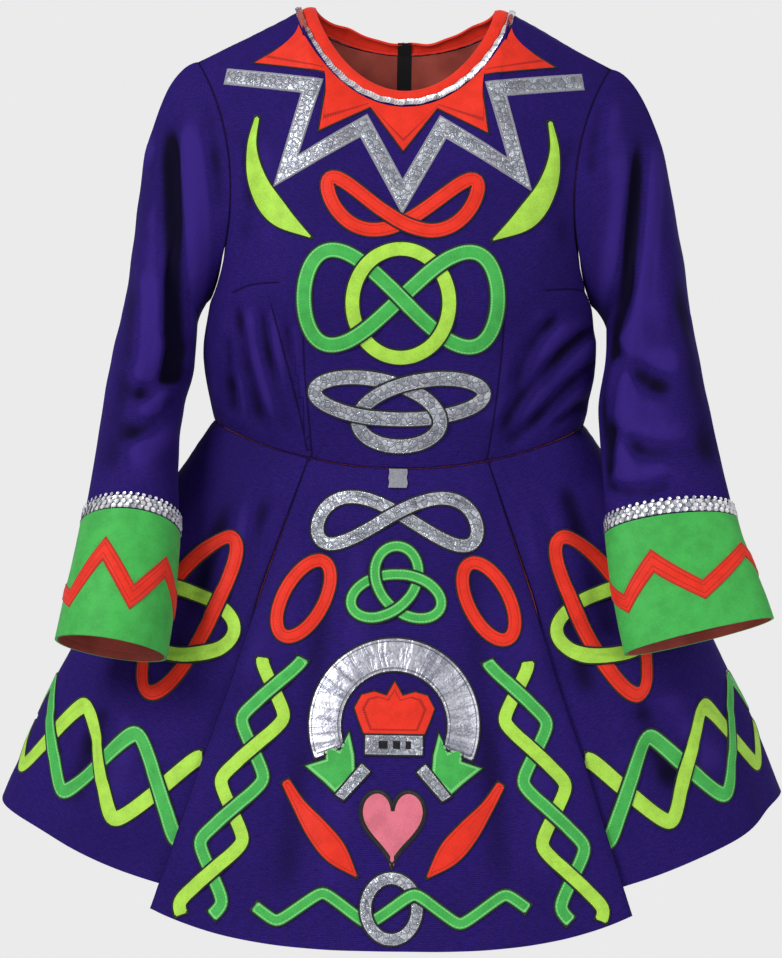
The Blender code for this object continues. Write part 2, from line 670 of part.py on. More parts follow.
def sew(panels):
    """Gives walls that meet at a seam one shared direction for their rims, so they stay clear of each other."""
    places = [(panel, r, c) for panel in panels for r, c in panel.border()]
    tree = kdtree.KDTree(len(places))
    for k, (panel, r, c) in enumerate(places):
        tree.insert(panel.grid[r, c], k)
    tree.balance()
    for panel, r, c in places:
        near = [places[k] for _, k, _ in tree.find_range(panel.grid[r, c], SEAM_REACH)]
        met = np.array([other.normals[i, j] for other, i, j in near])
        alike = np.sum(met @ met.T > 0.9, axis=1, keepdims=True)
        total = unit(np.sum(met / alike, axis=0))
        own = panel.normals[r, c]
        panel.lifts[r, c] = total / np.clip(own @ total, 0.85, 1.0)


def body_panels():
    """The bodice and the skirt, with their grids running left to right in front and right to left behind."""
    rows = [SIDE_SHARE * k / SIDE_STEPS for k in range(SIDE_STEPS)]
    rows += [SIDE_SHARE + (1 - SIDE_SHARE) * k / ARM_STEPS for k in range(ARM_STEPS + 1)]
    front = [-s for s in FRONT_COLUMNS[:0:-1]] + list(FRONT_COLUMNS)
    down = [k / SKIRT_STEPS for k in range(SKIRT_STEPS, -1, -1)]

    def bodice(half):
        return lambda t, s: bodice_point(abs(s), t, -1 if s < 0 else 1, half)

    panels = [Panel("bodice_front", "purple_wool", grid_of(rows, front, bodice(FRONT)), BODICE_WALL,
                    ("bottom", "top", "left", "right"))]
    waist_x = [math.sin(math.pi / 2 * FRONT_COLUMNS[k]) / math.sin(math.pi / 2 * FRONT_COLUMNS[PANEL_SEAM])
               for k in range(PANEL_SEAM + 1)]
    centre = [-x for x in waist_x[:0:-1]] + waist_x
    middle = grid_of(down, centre, lambda t, c: centre_panel_point(c, t))
    panels.append(Panel("skirt_front", "purple_wool", middle, SKIRT_WALL, ("top", "left", "right")))
    outer = FRONT_COLUMNS[PANEL_SEAM:]
    along = [(s - outer[0]) / (1 - outer[0]) for s in outer]
    for name, sign in SIGN.items():
        back = [sign * s for s in BACK_COLUMNS]
        side = along
        if sign > 0:
            back = back[::-1]
        else:
            side = along[::-1]
        panels.append(Panel("bodice_back_" + name, "purple_wool",
                            grid_of(rows, back, lambda t, s, n=sign: bodice_point(abs(s), t, n, BACK)),
                            BODICE_WALL, ("bottom", "top", "left", "right")))
        panels.append(Panel("skirt_back_" + name, "purple_wool",
                            grid_of(down, back, lambda t, s, n=sign: skirt_shape(abs(s), t, n, BACK)),
                            SKIRT_WALL, ("top", "left", "right")))
        panels.append(Panel("skirt_side_" + name, "purple_wool",
                            grid_of(down, side, lambda t, f, n=sign: side_panel_point(f, t, n)),
                            SKIRT_WALL, ("top", "left", "right")))
    return panels


def sleeve_rings(start, end, count):
    return [start + (end - start) * k / count for k in range(count + 1)]


def sleeve_panels():
    turns = [math.pi * k / ARM_STEPS for k in range(2 * ARM_STEPS)]
    panels = []
    for name, sign in SIGN.items():
        order = turns if sign < 0 else turns[::-1]
        rings = sleeve_rings(0, CAP_SHARE, CAP_RINGS) + sleeve_rings(CAP_SHARE, SLEEVE_END, SLEEVE_RINGS)[1:]
        grid = grid_of(rings[::-1], order, lambda w, psi, n=name: sleeve_point(psi, w, n))
        panels.append(Panel("sleeve_" + name, "purple_wool", grid, SLEEVE_WALL, ("top",), wrap=True))
    return panels


def neck_loop():
    """Places round the neck: centre back, left side, front, right side and centre back again."""
    half = [(FRONT, s / NECK_SHARE) for s in FRONT_COLUMNS if s <= NECK_SHARE]
    half += [(BACK, s / NECK_SHARE) for s in BACK_COLUMNS[::-1] if s < NECK_SHARE]
    return [(-1, *place) for place in half[::-1]] + [(1, *place) for place in half[1:]]


def binding_edge(side, half, k):
    """The bound edge of the neck, at a share k of the quarter turn from the centre."""
    fall = max(math.cos(math.pi / 2 * k), 0.0)
    x = BINDING_HALF * math.sin(math.pi / 2 * k)
    y = (half.neck_y - math.copysign(BINDING_INSET, half.neck_y)) * fall
    z = BINDING_RISE * (1 - fall) - (half.neck_drop - half.bound_drop) * fall ** NECK_CURVE
    return np.array((side * x, y, z))


def neck_binding():
    loop = neck_loop()
    seam = np.array([top_edge(k * NECK_SHARE, half) * np.array((side, 1, 1)) for side, half, k in loop])
    edge = np.array([binding_edge(*place) for place in loop])
    middle = (seam + edge) / 2
    out = unit(np.cross(np.gradient(seam, axis=0), edge - seam))
    middle += out * BINDING_BULGE
    panel = Panel("neck_binding", "orange_crepe", np.array((seam, middle, edge)), BINDING_WALL, ("bottom",))
    panel.grid[0] += unit(edge - seam) * SEAM_PULL * 2.2
    panel.grid[:, 0] -= (BACK_ZIP_HALF, 0, 0)
    panel.grid[:, -1] += (BACK_ZIP_HALF, 0, 0)
    return panel


def neck_trim(binding, bodices):
    """The sequin string, over the seam of the binding, from zip to zip. Its lower edge lies on the bodice."""
    seam, edge, out = binding.grid[0], binding.grid[1], unit(binding.lifts[0])
    lower = []
    for point, face in zip(seam, out):
        found = [(np.linalg.norm(piece.grid[-1, c] - point), c, piece) for piece in bodices
                 for c in range(piece.grid.shape[1])]
        _, c, piece = min(found, key=lambda item: item[0])
        if abs(point[1]) < 0.001:
            beside = max((piece.grid[-1, c - 1], piece.grid[-1, c + 1]), key=lambda other: abs(other[0]))
            lower.append(point + unit(beside - point) * STRING_HALF * 0.3 + face * (LAY_GAP + 0.0020))
        else:
            share = 1 - 0.6 * float(smooth((abs(point[0]) / NECK_HALF - 0.7) / 0.25))
            lower.append(point + unit(piece.grid[-2, c] - point) * STRING_HALF * share
                         + piece.normals[-1, c] * (LAY_GAP + 0.0026 - 0.0020 * share))
    upper = seam + unit(edge - seam) * STRING_HALF + out * (LAY_GAP + 0.0003)
    grid = np.array((lower, seam + out * (LAY_GAP + 0.0008), upper))
    return wall("neck_trim", "silver_cloth", grid + out * TRIM_WALL, grid)


def band(name, slot, side, rings, out, thick):
    """A ring of cloth round a sleeve, out from its outer face by its own distance at each ring."""
    turns = [math.pi * k / ARM_STEPS for k in range(2 * ARM_STEPS)]
    order = turns if SIGN[side] < 0 else turns[::-1]
    grid = grid_of(rings[::-1], order, lambda w, psi: sleeve_point(psi, w, side))
    across = normals(grid, True)
    outs = np.array(out[::-1])[:, None, None]
    outer = grid + across * (outs + thick)
    return outer, wall(name, slot, outer, outer - across * thick, wrap=True)


def cuffs(side):
    """One sleeve's cuff, the trim above it and the lining inside its mouth."""
    rings = sleeve_rings(CUFF_START, 1.0, CUFF_RINGS)
    eased = [LAY_GAP] * 2 + [LAY_GAP + CUFF_EASE * share for share in (1 / 3, 2 / 3, 1, 1)]
    cuff_zigzag(side, *band("cuff_" + side, "green_crepe", side, rings, eased, CUFF_WALL))
    end = CUFF_START - RING_GAP
    rings = [end - TRIM_HEIGHT / TRIM_SHARE, end]
    band("cuff_trim_" + side, "silver_cloth", side, rings, [LAY_GAP] * 2, TRIM_WALL)
    rings = sleeve_rings(SLEEVE_END + RING_GAP, LINING_END, LINING_RINGS)
    outs = [LINING_INSET * (k / LINING_RINGS - 1) for k in range(LINING_RINGS + 1)]
    band("cuff_lining_" + side, "red_lining", side, rings, outs, LINING_WALL)


def back_lining(panels):
    """The lining inside the upper back, on each side of the zip's tape."""
    for side in SIGN:
        panel = panels["bodice_back_" + side]
        rows = range(SIDE_STEPS + 3, SIDE_STEPS + ARM_STEPS + 1)
        last = len(BACK_COLUMNS)
        columns = range(LINING_COLUMNS) if side == "left" else range(last - LINING_COLUMNS, last)
        grid = panel.grid[np.ix_(rows, columns)].copy()
        lift = panel.normals[np.ix_(rows, columns)]
        middle = 0 if side == "left" else -1
        grid[:, middle] += np.array((SIGN[side] * (TAPE_HALF + TAPE_CLEAR), 0, 0))
        grid[-1] += unit(grid[-2] - grid[-1]) * LINING_DROP
        outer = grid - lift * (BODICE_WALL + LAY_GAP + 0.0002)
        wall("lining_back_" + side, "red_lining", outer, outer - lift * LINING_WALL)


def centre_back_line(panels):
    """The centre back from the neck down past the waist, with the directions that lead out of the cloth."""
    bodice, skirt = panels["bodice_back_left"], panels["skirt_back_left"]
    upper = [(bodice.grid[r, 0], bodice.lifts[r, 0], BODICE_WALL)
             for r in range(bodice.grid.shape[0] - 1, 0, -1)]
    lower = [(skirt.grid[r, 0], skirt.lifts[r, 0], SKIRT_WALL)
             for r in range(SKIRT_STEPS, SKIRT_STEPS - ZIP_STEPS, -1)]
    line = upper + lower
    points = np.array([p for p, _, _ in line])
    points[:, 0] = 0
    outs = np.array([(0, n[1], n[2]) for _, n, _ in line])
    walls = np.array([t for _, _, t in line])[:, None]
    return points, unit(outs), walls


def zip_parts(panels):
    """The zip at the centre back: tape, closed chain, slider, and the pull that hangs from the slider."""
    points, outs, walls = centre_back_line(panels)
    side = np.array((1.0, 0, 0))
    inner = points - outs * (walls + LAY_GAP)
    tape = np.stack((inner + side * TAPE_HALF, inner, inner - side * TAPE_HALF), axis=1)[::-1]
    deep = outs[::-1, None] * TAPE_WALL
    wall("zip_tape", "black_tape", tape, tape - deep)
    start = points[0] + unit(points[1] - points[0]) * ZIP_TOP
    outer = np.concatenate((start[None], points[1:])) + outs * CHAIN_PROUD
    floor = np.concatenate((start[None], points[1:])) - outs * (walls - CHAIN_FLOOR)
    chain = np.stack((outer + side * CHAIN_HALF, outer - side * CHAIN_HALF), axis=1)[::-1]
    base = np.stack((floor + side * CHAIN_HALF, floor - side * CHAIN_HALF), axis=1)[::-1]
    wall("zip_chain", "zip_metal", chain, base)
    place = start + unit(points[2] - points[1]) * SLIDER_DROP
    slope = unit(points[3] - points[1])
    frame = Matrix.Identity(4)
    for k, axis in enumerate((side, unit(outs[1]), -slope)):
        for r in range(3):
            frame[r][k] = axis[r]
    frame.translation = Vector(place + outs[1] * SLIDER_OUT)
    slider_and_pull(frame)


def box(name, size, at):
    """A box of a size, centred at a place."""
    bpy.ops.mesh.primitive_cube_add(size=1, location=at)
    made = bpy.context.object
    made.name = name
    made.scale = size
    bpy.ops.object.transform_apply(location=False, rotation=False, scale=True)
    return made


def joined(name, slot, pieces, frame, cut=()):
    """Joins pieces by Boolean union, cuts others away, and sets the result in a frame."""
    first = pieces[0]
    for other in pieces[1:] + list(cut):
        step = first.modifiers.new("join", "BOOLEAN")
        step.operation = "DIFFERENCE" if other in cut else "UNION"
        step.object = other
        bpy.context.view_layer.objects.active = first
        bpy.ops.object.modifier_apply(modifier=step.name)
    for other in pieces[1:] + list(cut):
        bpy.data.objects.remove(other)
    first.name = name
    first.data.transform(Matrix.Translation(first.location))
    first.location = (0, 0, 0)
    first.matrix_world = frame
    first.data.materials.append(material(slot))
    for old in list(first.users_collection):
        old.objects.unlink(first)
    bpy.data.collections["irish_dance_dress"].objects.link(first)
    return first


def slider_and_pull(frame):
    """The slider lies on the chain, in the frame's own x across, y out of the cloth and z up along the zip. The
    pull's top bar turns under the slider's bridge, which passes through the pull's window."""
    bridge_y = SLIDER_DEEP + BAR_SIZE + 2 * PULL_PLAY
    post_z = (BRIDGE_LONG - BAR_SIZE) / 2
    body = box("body", (SLIDER_WIDTH, SLIDER_DEEP, SLIDER_LONG), (0, SLIDER_DEEP / 2, 0))
    top = box("top", (BRIDGE_WIDTH, BAR_SIZE, BRIDGE_LONG), (0, bridge_y + BAR_SIZE / 2, 0))
    posts = [box("post", (BRIDGE_WIDTH, bridge_y, BAR_SIZE), (0, bridge_y / 2 + BAR_SIZE / 2, z))
             for z in (-post_z, post_z)]
    joined("zip_slider", "zip_metal", [body, top] + posts, frame)
    pivot = SLIDER_DEEP + PULL_PLAY + BAR_SIZE / 2
    plate = box("plate", (PULL_WIDTH, BAR_SIZE, PULL_LONG), (0, 0, BAR_SIZE / 2 - PULL_LONG / 2))
    window = box("window", (BRIDGE_WIDTH + 2 * PULL_PLAY, BAR_SIZE * 3, PULL_WINDOW),
                 (0, 0, -BAR_SIZE / 2 - PULL_WINDOW / 2))
    joined("zip_pull", "zip_metal", [plate], frame @ Matrix.Translation((0, pivot, 0)), cut=[window])


def waist_tab(panels):
    """The small grey tab that hangs from the waist seam at the centre front."""
    front = panels["skirt_front"]
    drops = (TAB_SIZE, TAB_SIZE / 2, TAB_HEAD)
    grid = np.array([[front.over(x, TAB_TOP_Z - drop, LAY_GAP) for x in (-TAB_SIZE / 2, 0, TAB_SIZE / 2)]
                     for drop in drops])
    lift = np.array((0, -TAB_WALL, 0))
    wall("waist_tab", "silver_cloth", grid + lift, grid)


def tree_of(bodies):
    """A search tree of the faces of built bodies."""
    points, faces = [], []
    for body in bodies:
        mesh = body.data
        mesh.calc_loop_triangles()
        base = len(points)
        points += [vertex.co for vertex in mesh.vertices]
        faces += [tuple(base + k for k in face.vertices) for face in mesh.loop_triangles]
    return BVHTree.FromPolygons(points, faces)


def applique(name, slot, plan, triangles, place, outs, beneath):
    """A cloth piece on a panel: plan points set on the face by place, moved out until nothing touches."""
    spots = [place(*point) for point in plan]
    base, lift = np.array([p for p, _ in spots]), np.array([n for _, n in spots])
    outs = np.array(outs, float) + APPLIQUE_GAP
    shares = [(i, j, PROBES - i - j) for i in range(PROBES + 1) for j in range(PROBES + 1 - i)]
    probes = np.array(shares) / PROBES
    for _ in range(SEATING_PASSES):
        low = base + lift * outs[:, None]
        need = np.zeros(len(outs))
        for corners in triangles:
            for probe in probes @ low[list(corners)]:
                near, face, _, _ = beneath.find_nearest(Vector(probe))
                short = APPLIQUE_CLEAR - (Vector(probe) - near).dot(face)
                for k in corners:
                    need[k] = max(need[k], short)
        if not need.any():
            break
        outs += need * 1.05
    count = len(plan)
    edges = {}
    for corners in triangles:
        for a, b in zip(corners, corners[1:] + corners[:1]):
            edges[a, b] = (b, a)
    rim = [edge for edge, other in edges.items() if other not in edges]
    faces = list(triangles) + [tuple(count + k for k in reversed(corners)) for corners in triangles]
    faces += [(b, a, count + a, count + b) for a, b in rim]
    points = np.concatenate((base + lift * (outs + APPLIQUE_WALL)[:, None], base + lift * outs[:, None]))
    return solid(name, slot, points, faces)


def strip_triangles(rows, columns, wrap):
    """The triangles of a grid of points. A wrapped grid joins its last column to its first."""
    triangles = []
    for r in range(rows - 1):
        for c in range(columns if wrap else columns - 1):
            d = (c + 1) % columns
            near, far = r * columns, (r + 1) * columns
            triangles += [(near + c, near + d, far + d), (near + c, far + d, far + c)]
    return triangles


class Strap:
    """A strap of applique: a centreline of even steps in its panel's plan, with widths and crossings."""

    def __init__(self, name, slot, line, widths, closed=False, across=2):
        self.name, self.slot, self.closed, self.across = name, slot, closed, across
        self.line = np.asarray(line)
        self.widths = np.broadcast_to(np.asarray(widths, float), len(self.line))
        self.rises = np.zeros(len(self.line))
        ahead = np.roll(self.line, -1, axis=0) - self.line
        behind = np.roll(ahead, 1, axis=0)
        if not closed:
            ahead[-1], behind[0] = ahead[-2], ahead[0]
        self.steps = ahead
        ahead, behind = unit(ahead), unit(behind)
        along = unit(ahead + behind)
        stretch = 1 / np.clip(np.sum(along * ahead, axis=1), 0.45, 1)
        self.sides = np.column_stack((-along[:, 1], along[:, 0])) * stretch[:, None]

    def lay(self, place, beneath):
        rows = [self.line + self.sides * (self.widths * share)[:, None]
                for share in np.linspace(-0.5, 0.5, self.across)]
        outs = np.tile(self.rises, self.across)
        return applique(self.name, self.slot, np.concatenate(rows),
                        strip_triangles(self.across, len(self.line), self.closed), place, outs, beneath)


def evenly(line, closed, step=STRAP_STEP):
    """A line's points again, at even steps."""
    line = np.concatenate((line, line[:1])) if closed else line
    run = np.concatenate(((0,), np.cumsum(np.linalg.norm(np.diff(line, axis=0), axis=1))))
    count = max(int(round(run[-1] / step)), 4)
    at = run[-1] * np.arange(count + (not closed)) / count
    return np.column_stack([np.interp(at, run, line[:, k]) for k in (0, 1)])


def knot_line(knot, sign=1):
    """A closed strap's centreline: its waves fitted to its box, leant and set in place."""
    turns = np.linspace(0, 2 * math.pi, 360, endpoint=False)
    x = sum(h.wide * np.sin(h.n * turns + math.radians(h.x_turn)) for h in KNOTS[knot.kind])
    z = sum(h.high * np.cos(h.n * turns + math.radians(h.z_turn)) for h in KNOTS[knot.kind])
    x = (x - (x.max() + x.min()) / 2) * 2 / (x.max() - x.min()) * knot.wide
    z = (z - (z.max() + z.min()) / 2) * 2 / (z.max() - z.min()) * knot.high
    c, s = math.cos(math.radians(knot.lean)), math.sin(math.radians(knot.lean))
    return evenly(np.column_stack((knot.x + sign * (c * x - s * z), knot.z + s * x + c * z)), True)


def crossings(straps):
    """Where straps cross in plan: both straps, both places in steps, and half the overlap's length."""
    found = []
    for i, a in enumerate(straps):
        for j in range(i, len(straps)):
            b = straps[j]
            ends = [len(s.line) if s.closed else len(s.line) - 1 for s in (a, b)]
            p, d = a.line[:ends[0], None], a.steps[:ends[0], None]
            q, e = b.line[None, :ends[1]], b.steps[None, :ends[1]]
            turn = d[..., 0] * e[..., 1] - d[..., 1] * e[..., 0]
            turn = np.where(np.abs(turn) < 1e-12, 1e-12, turn)
            w = q - p
            f = (w[..., 0] * e[..., 1] - w[..., 1] * e[..., 0]) / turn
            g = (w[..., 0] * d[..., 1] - w[..., 1] * d[..., 0]) / turn
            for m, n in zip(*np.nonzero((f >= 0) & (f < 1) & (g >= 0) & (g < 1))):
                if i == j and (n <= m + 1 or (m == 0 and n == ends[0] - 1)):
                    continue
                one, other = unit(a.steps[m]), unit(b.steps[n])
                sine = abs(float(one[0] * other[1] - one[1] * other[0]))
                cosine = abs(float(one @ other))
                reach = (b.widths[n] + a.widths[m] * cosine) / (2 * sine)
                found.append(((i, m + f[m, n]), (j, n + g[m, n]), reach))
    return found


def weave(straps):
    """Raises each strap over every second crossing along it."""
    found = crossings(straps)
    over = {}
    for i, strap in enumerate(straps):
        passes = sorted((place[1], k, which) for k, crossing in enumerate(found)
                        for which, place in enumerate(crossing[:2]) if place[0] == i)
        parities = [(n + over[k, which]) % 2 for n, (_, k, which) in enumerate(passes) if (k, which) in over]
        start = round(sum(parities) / len(parities)) if parities else 0
        for n, (_, k, which) in enumerate(passes):
            if (k, which) not in over:
                over[k, which] = (n + start) % 2
                over[k, 1 - which] = 1 - over[k, which]
    for (k, which), up in over.items():
        if up:
            i, place = found[k][which]
            strap, reach = straps[i], found[k][2] + CROSS_MARGIN
            count = len(strap.line)
            for n in range(count):
                gap = abs(n - place)
                gap = min(gap, count - gap) if strap.closed else gap
                step = float(np.linalg.norm(strap.steps[0]))
                fall = smooth((reach + step * 0.5 + CROSS_FALL - gap * step) / CROSS_FALL)
                strap.rises[n] = max(strap.rises[n], CROSS_RISE * float(fall))


def fan(middle, outline, rings=2):
    """Plan points and triangles of a filled outline, in rings round its middle."""
    middle, outline = np.array(middle), np.array(outline)
    count = len(outline)
    plan = [middle]
    plan += [middle + (point - middle) * ring / rings for ring in range(1, rings + 1) for point in outline]
    triangles = [(0, 1 + k, 1 + (k + 1) % count) for k in range(count)]
    triangles += [tuple(1 + k for k in corners) for corners in strip_triangles(rings, count, True)]
    turned = [(a, c, b) for a, b, c in triangles[:count]]
    return np.array(plan), turned + triangles[count:]


def mirrored(points):
    return [(-x, z) for x, z in points]


def finer(corners, step):
    """A line through corners, with points between them."""
    line = []
    for a, b in zip(corners, corners[1:]):
        count = max(int(round(math.dist(a, b) / step)), 1)
        line += [np.array(a) + (np.array(b) - np.array(a)) * k / count for k in range(count)]
    return np.array(line + [np.array(corners[-1])])


def leaf(name, slot, ribs, sign):
    places = np.linspace(0, 1, len(ribs))
    rows = [through(places, ribs, at) for at in np.linspace(0, 1, LEAF_STEPS)]
    return Strap(name, slot, [(sign * x, z) for x, z, _ in rows], [max(width, 0.002) for _, _, width in rows])


def yoke(bodice, beneath):
    """The silver zigzag across the chest, and the orange points under the neck."""
    half = list(ZIGZAG)
    line = finer(half + mirrored(half[-2::-1]), STRAP_STEP)
    Strap("yoke_zigzag", "silver_cloth", line, ZIGZAG_STRAP).lay(bodice.front_spot, beneath)
    points = list(YOKE_POINTS) + [Point(-p.x, p.z, -p.turn) for p in YOKE_POINTS[-2::-1]]
    outer = finer([(p.x, p.z) for p in points], YOKE_STEP)
    run = np.cumsum([0] + [math.dist(a, b) for a, b in zip(outer, outer[1:])])
    at = [run[int(np.argmin(np.linalg.norm(outer - np.array((p.x, p.z)), axis=1)))] for p in points]
    turns = np.radians(np.interp(run, at, [p.turn for p in points]))
    seam = np.array([(NECK_HALF * math.sin(t), -FRONT.neck_drop * math.cos(t) ** NECK_CURVE) for t in turns])
    away = unit(np.gradient(seam, axis=0))
    inner = seam + np.column_stack((-away[:, 1], away[:, 0])) * YOKE_INSET
    rows = [inner + (outer - inner) * k / (YOKE_ACROSS - 1) for k in range(YOKE_ACROSS)]
    triangles = strip_triangles(YOKE_ACROSS, len(outer), False)
    applique("yoke_points", "orange_crepe", np.concatenate(rows), triangles, bodice.front_spot,
             np.zeros(YOKE_ACROSS * len(outer)), beneath)


def claddagh(skirt, panel):
    """The traditional emblem: an open ring, a crown in it, a heart under it and two hands beside the heart."""
    turns = np.radians(np.linspace(-RING_END, 180 + RING_END, 21))
    line = np.array(RING_AT) + RING_RADIUS * np.column_stack((np.cos(turns), np.sin(turns)))
    ring = Strap("claddagh_ring", "silver_cloth", line, RING_WIDTH, across=3)
    ring = ring.lay(skirt.front_spot, tree_of([panel]))
    turns = np.radians(np.arange(0, 360, 18))
    heart = np.column_stack((HEART_AT[0] + HEART_WIDE * np.sin(turns) ** 3,
                             HEART_AT[1] + HEART_HIGH * (13 * np.cos(turns) - 5 * np.cos(2 * turns)
                                                         - 2 * np.cos(3 * turns) - np.cos(4 * turns))))
    beneath = tree_of([panel, ring])
    shapes = (("heart", "pink_crepe", HEART_AT, heart),
              ("crown", "orange_crepe", CROWN_MIDDLE, list(CROWN) + mirrored(CROWN[:0:-1])),
              ("hand_left", "green_crepe", mirrored([HAND_MIDDLE])[0], mirrored(HAND)[::-1]),
              ("hand_right", "green_crepe", HAND_MIDDLE, HAND))
    for name, slot, middle, outline in shapes:
        plan, triangles = fan(middle, outline)
        applique("claddagh_" + name, slot, plan, triangles, skirt.front_spot, np.zeros(len(plan)), beneath)


def plait_lines(plait, turn):
    """Two strands that cross again and again: places along, and how far each strand stands off the middle."""
    along = np.linspace(plait.start, plait.end, 160)
    swing = np.sin(2 * math.pi * (along - plait.start) / plait.wave + turn)
    swing = np.arcsin(PLAIT_ROUNDING * swing) / math.asin(PLAIT_ROUNDING) * plait.swing
    return along, (swing, -swing)


def panel_straps(skirt, panel):
    """The knots, plaits and leaves of the centre panel."""
    straps = [Strap(k.name, k.slot, knot_line(k), k.strap, True) for k in PANEL_KNOTS]
    down, swings = plait_lines(EDGE_PLAIT, math.pi / 2)
    share = (down - skirt_top(skirt)) / (CENTRE_HEM_Z - skirt_top(skirt))
    edge = np.array([panel_half(t) for t in share]) - EDGE_PLAIT.base
    for side, sign in SIGN.items():
        for slot, swing in zip(("lime_crepe", "green_crepe"), swings):
            line = evenly(np.column_stack((sign * (edge + swing), down)), False)
            name = "edge_plait_" + slot.split("_")[0] + "_" + side
            straps.append(Strap(name, slot, line, EDGE_PLAIT.strap))
        straps.append(leaf("orange_leaf_" + side, "orange_crepe", ORANGE_LEAF, sign))
    across, (swing, _) = plait_lines(WAVE_STRAP, math.pi)
    line = evenly(np.column_stack((across, WAVE_STRAP.base + swing)), False)
    straps.append(Strap("green_wave", "green_crepe", line, WAVE_STRAP.strap))
    weave(straps)
    for strap in straps:
        strap.lay(skirt.front_spot, tree_of([panel]))


def skirt_top(skirt):
    return float(skirt.grid[-1, skirt.grid.shape[1] // 2, 2])


def flank_straps(skirt, panel, side):
    """The side knot and the plait above the hem of one side panel."""
    straps = [Strap(k.name + "_" + side, k.slot, knot_line(k), k.strap, True) for k in FLANK_KNOTS]
    along, swings = plait_lines(HEM_PLAIT, math.pi / 2)
    for slot, swing in zip(("lime_crepe", "green_crepe"), swings):
        line = evenly(np.column_stack((along, HEM_PLAIT.base + swing)), False)
        straps.append(Strap("hem_plait_" + slot.split("_")[0] + "_" + side, slot, line, HEM_PLAIT.strap))
    weave(straps)
    for strap in straps:
        strap.lay(lambda x, z: skirt.flank_spot(x, z, SIGN[side]), tree_of([panel]))


def cuff_zigzag(side, grid, cuff):
    """The zigzag round a cuff, with points on every facet's edge."""
    corners = CUFF_ZIGZAG[side]
    facets = [c.facet for c in corners] + [2 * ARM_STEPS]
    heights = [c.height for c in corners] + [corners[0].height]
    columns = np.arange(2 * ARM_STEPS)
    closed = np.concatenate((grid, grid[:, :1]), axis=1)
    face = Panel("cuff", "green_crepe", closed, CUFF_WALL)
    lift = normals(grid, True)
    face.normals = np.concatenate((lift, lift[:, :1]), axis=1)
    tall = float(np.linalg.norm(grid[-1, 0] - grid[0, 0]))
    facet_wide = float(np.linalg.norm(grid[2, 1] - grid[2, 0]))
    steps = grid.shape[0] - 1
    rows = np.interp(columns, facets, heights)
    slopes = (np.interp(columns + 0.5, facets, heights) - rows) * 2 * tall / facet_wide
    half = CUFF_STRAP / 2 * float(np.median(np.sqrt(1 + slopes ** 2))) / tall
    plan = np.concatenate([np.column_stack((columns, (rows + part * half) * steps)) for part in (-1, 0, 1)])
    applique("cuff_zigzag_" + side, "orange_crepe", plan, strip_triangles(3, len(columns), True),
             lambda column, row: face.spot(row, column), np.zeros(len(plan)), tree_of([cuff]))


def appliques(named, built):
    """All the appliques, each on the panel that carries it."""
    bodice = named["bodice_front"]
    beneath = tree_of([built["bodice_front"]])
    yoke(bodice, beneath)
    straps = [Strap(k.name, k.slot, knot_line(k), k.strap, True) for k in BODICE_KNOTS]
    straps += [leaf("lime_leaf_" + side, "lime_crepe", LIME_LEAF, sign) for side, sign in SIGN.items()]
    weave(straps)
    for strap in straps:
        strap.lay(bodice.front_spot, beneath)
    claddagh(named["skirt_front"], built["skirt_front"])
    panel_straps(named["skirt_front"], built["skirt_front"])
    for side in SIGN:
        flank_straps(named["skirt_side_" + side], built["skirt_side_" + side], side)


def main():
    clear_scene()
    binding = neck_binding()
    panels = body_panels() + sleeve_panels() + [binding]
    sew(panels)
    built = {panel.name: panel.build() for panel in panels}
    named = {panel.name: panel for panel in panels}
    neck_trim(binding, [panel for panel in panels if panel.name.startswith("bodice")])
    for side in SIGN:
        cuffs(side)
    back_lining(named)
    zip_parts(named)
    waist_tab(named)
    appliques(named, built)


main()
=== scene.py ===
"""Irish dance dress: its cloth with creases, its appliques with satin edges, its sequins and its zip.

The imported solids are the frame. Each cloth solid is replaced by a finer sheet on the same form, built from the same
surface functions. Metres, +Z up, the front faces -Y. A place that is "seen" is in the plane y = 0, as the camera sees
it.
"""
import math
from collections import namedtuple
from functools import lru_cache

import bpy
import numpy as np
from mathutils import Euler, Matrix, Vector, kdtree

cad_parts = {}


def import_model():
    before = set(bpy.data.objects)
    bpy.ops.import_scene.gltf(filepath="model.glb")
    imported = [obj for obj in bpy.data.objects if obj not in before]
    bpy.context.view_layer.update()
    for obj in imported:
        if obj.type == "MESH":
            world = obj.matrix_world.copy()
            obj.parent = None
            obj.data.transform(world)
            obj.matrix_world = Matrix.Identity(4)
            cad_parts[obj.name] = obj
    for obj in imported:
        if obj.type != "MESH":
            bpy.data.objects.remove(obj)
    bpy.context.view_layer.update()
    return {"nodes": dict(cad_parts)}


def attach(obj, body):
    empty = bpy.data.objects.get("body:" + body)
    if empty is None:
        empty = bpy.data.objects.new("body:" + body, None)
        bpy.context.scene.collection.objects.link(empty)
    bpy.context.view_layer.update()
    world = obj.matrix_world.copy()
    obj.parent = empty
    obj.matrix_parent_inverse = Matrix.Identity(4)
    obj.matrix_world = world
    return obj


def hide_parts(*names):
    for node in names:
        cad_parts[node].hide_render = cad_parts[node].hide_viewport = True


# Camera: its distance from y = 0, its height, the width that it sees at y = 0, and its sideways shift and roll
CAMERA_AWAY = 2.6
CAMERA_Z = -0.411
CAMERA_SEES = 0.6882
CAMERA_SENSOR = 36.0
CAMERA_SHIFT = -0.00895
CAMERA_ROLL = -0.9

# Cloth
BODICE_WALL = 0.0020
SKIRT_WALL = 0.0028
SLEEVE_WALL = 0.0018
CUFF_WALL = 0.0022
LINING_WALL = 0.0010
TAB_WALL = 0.0008
LAY_GAP = 0.0004

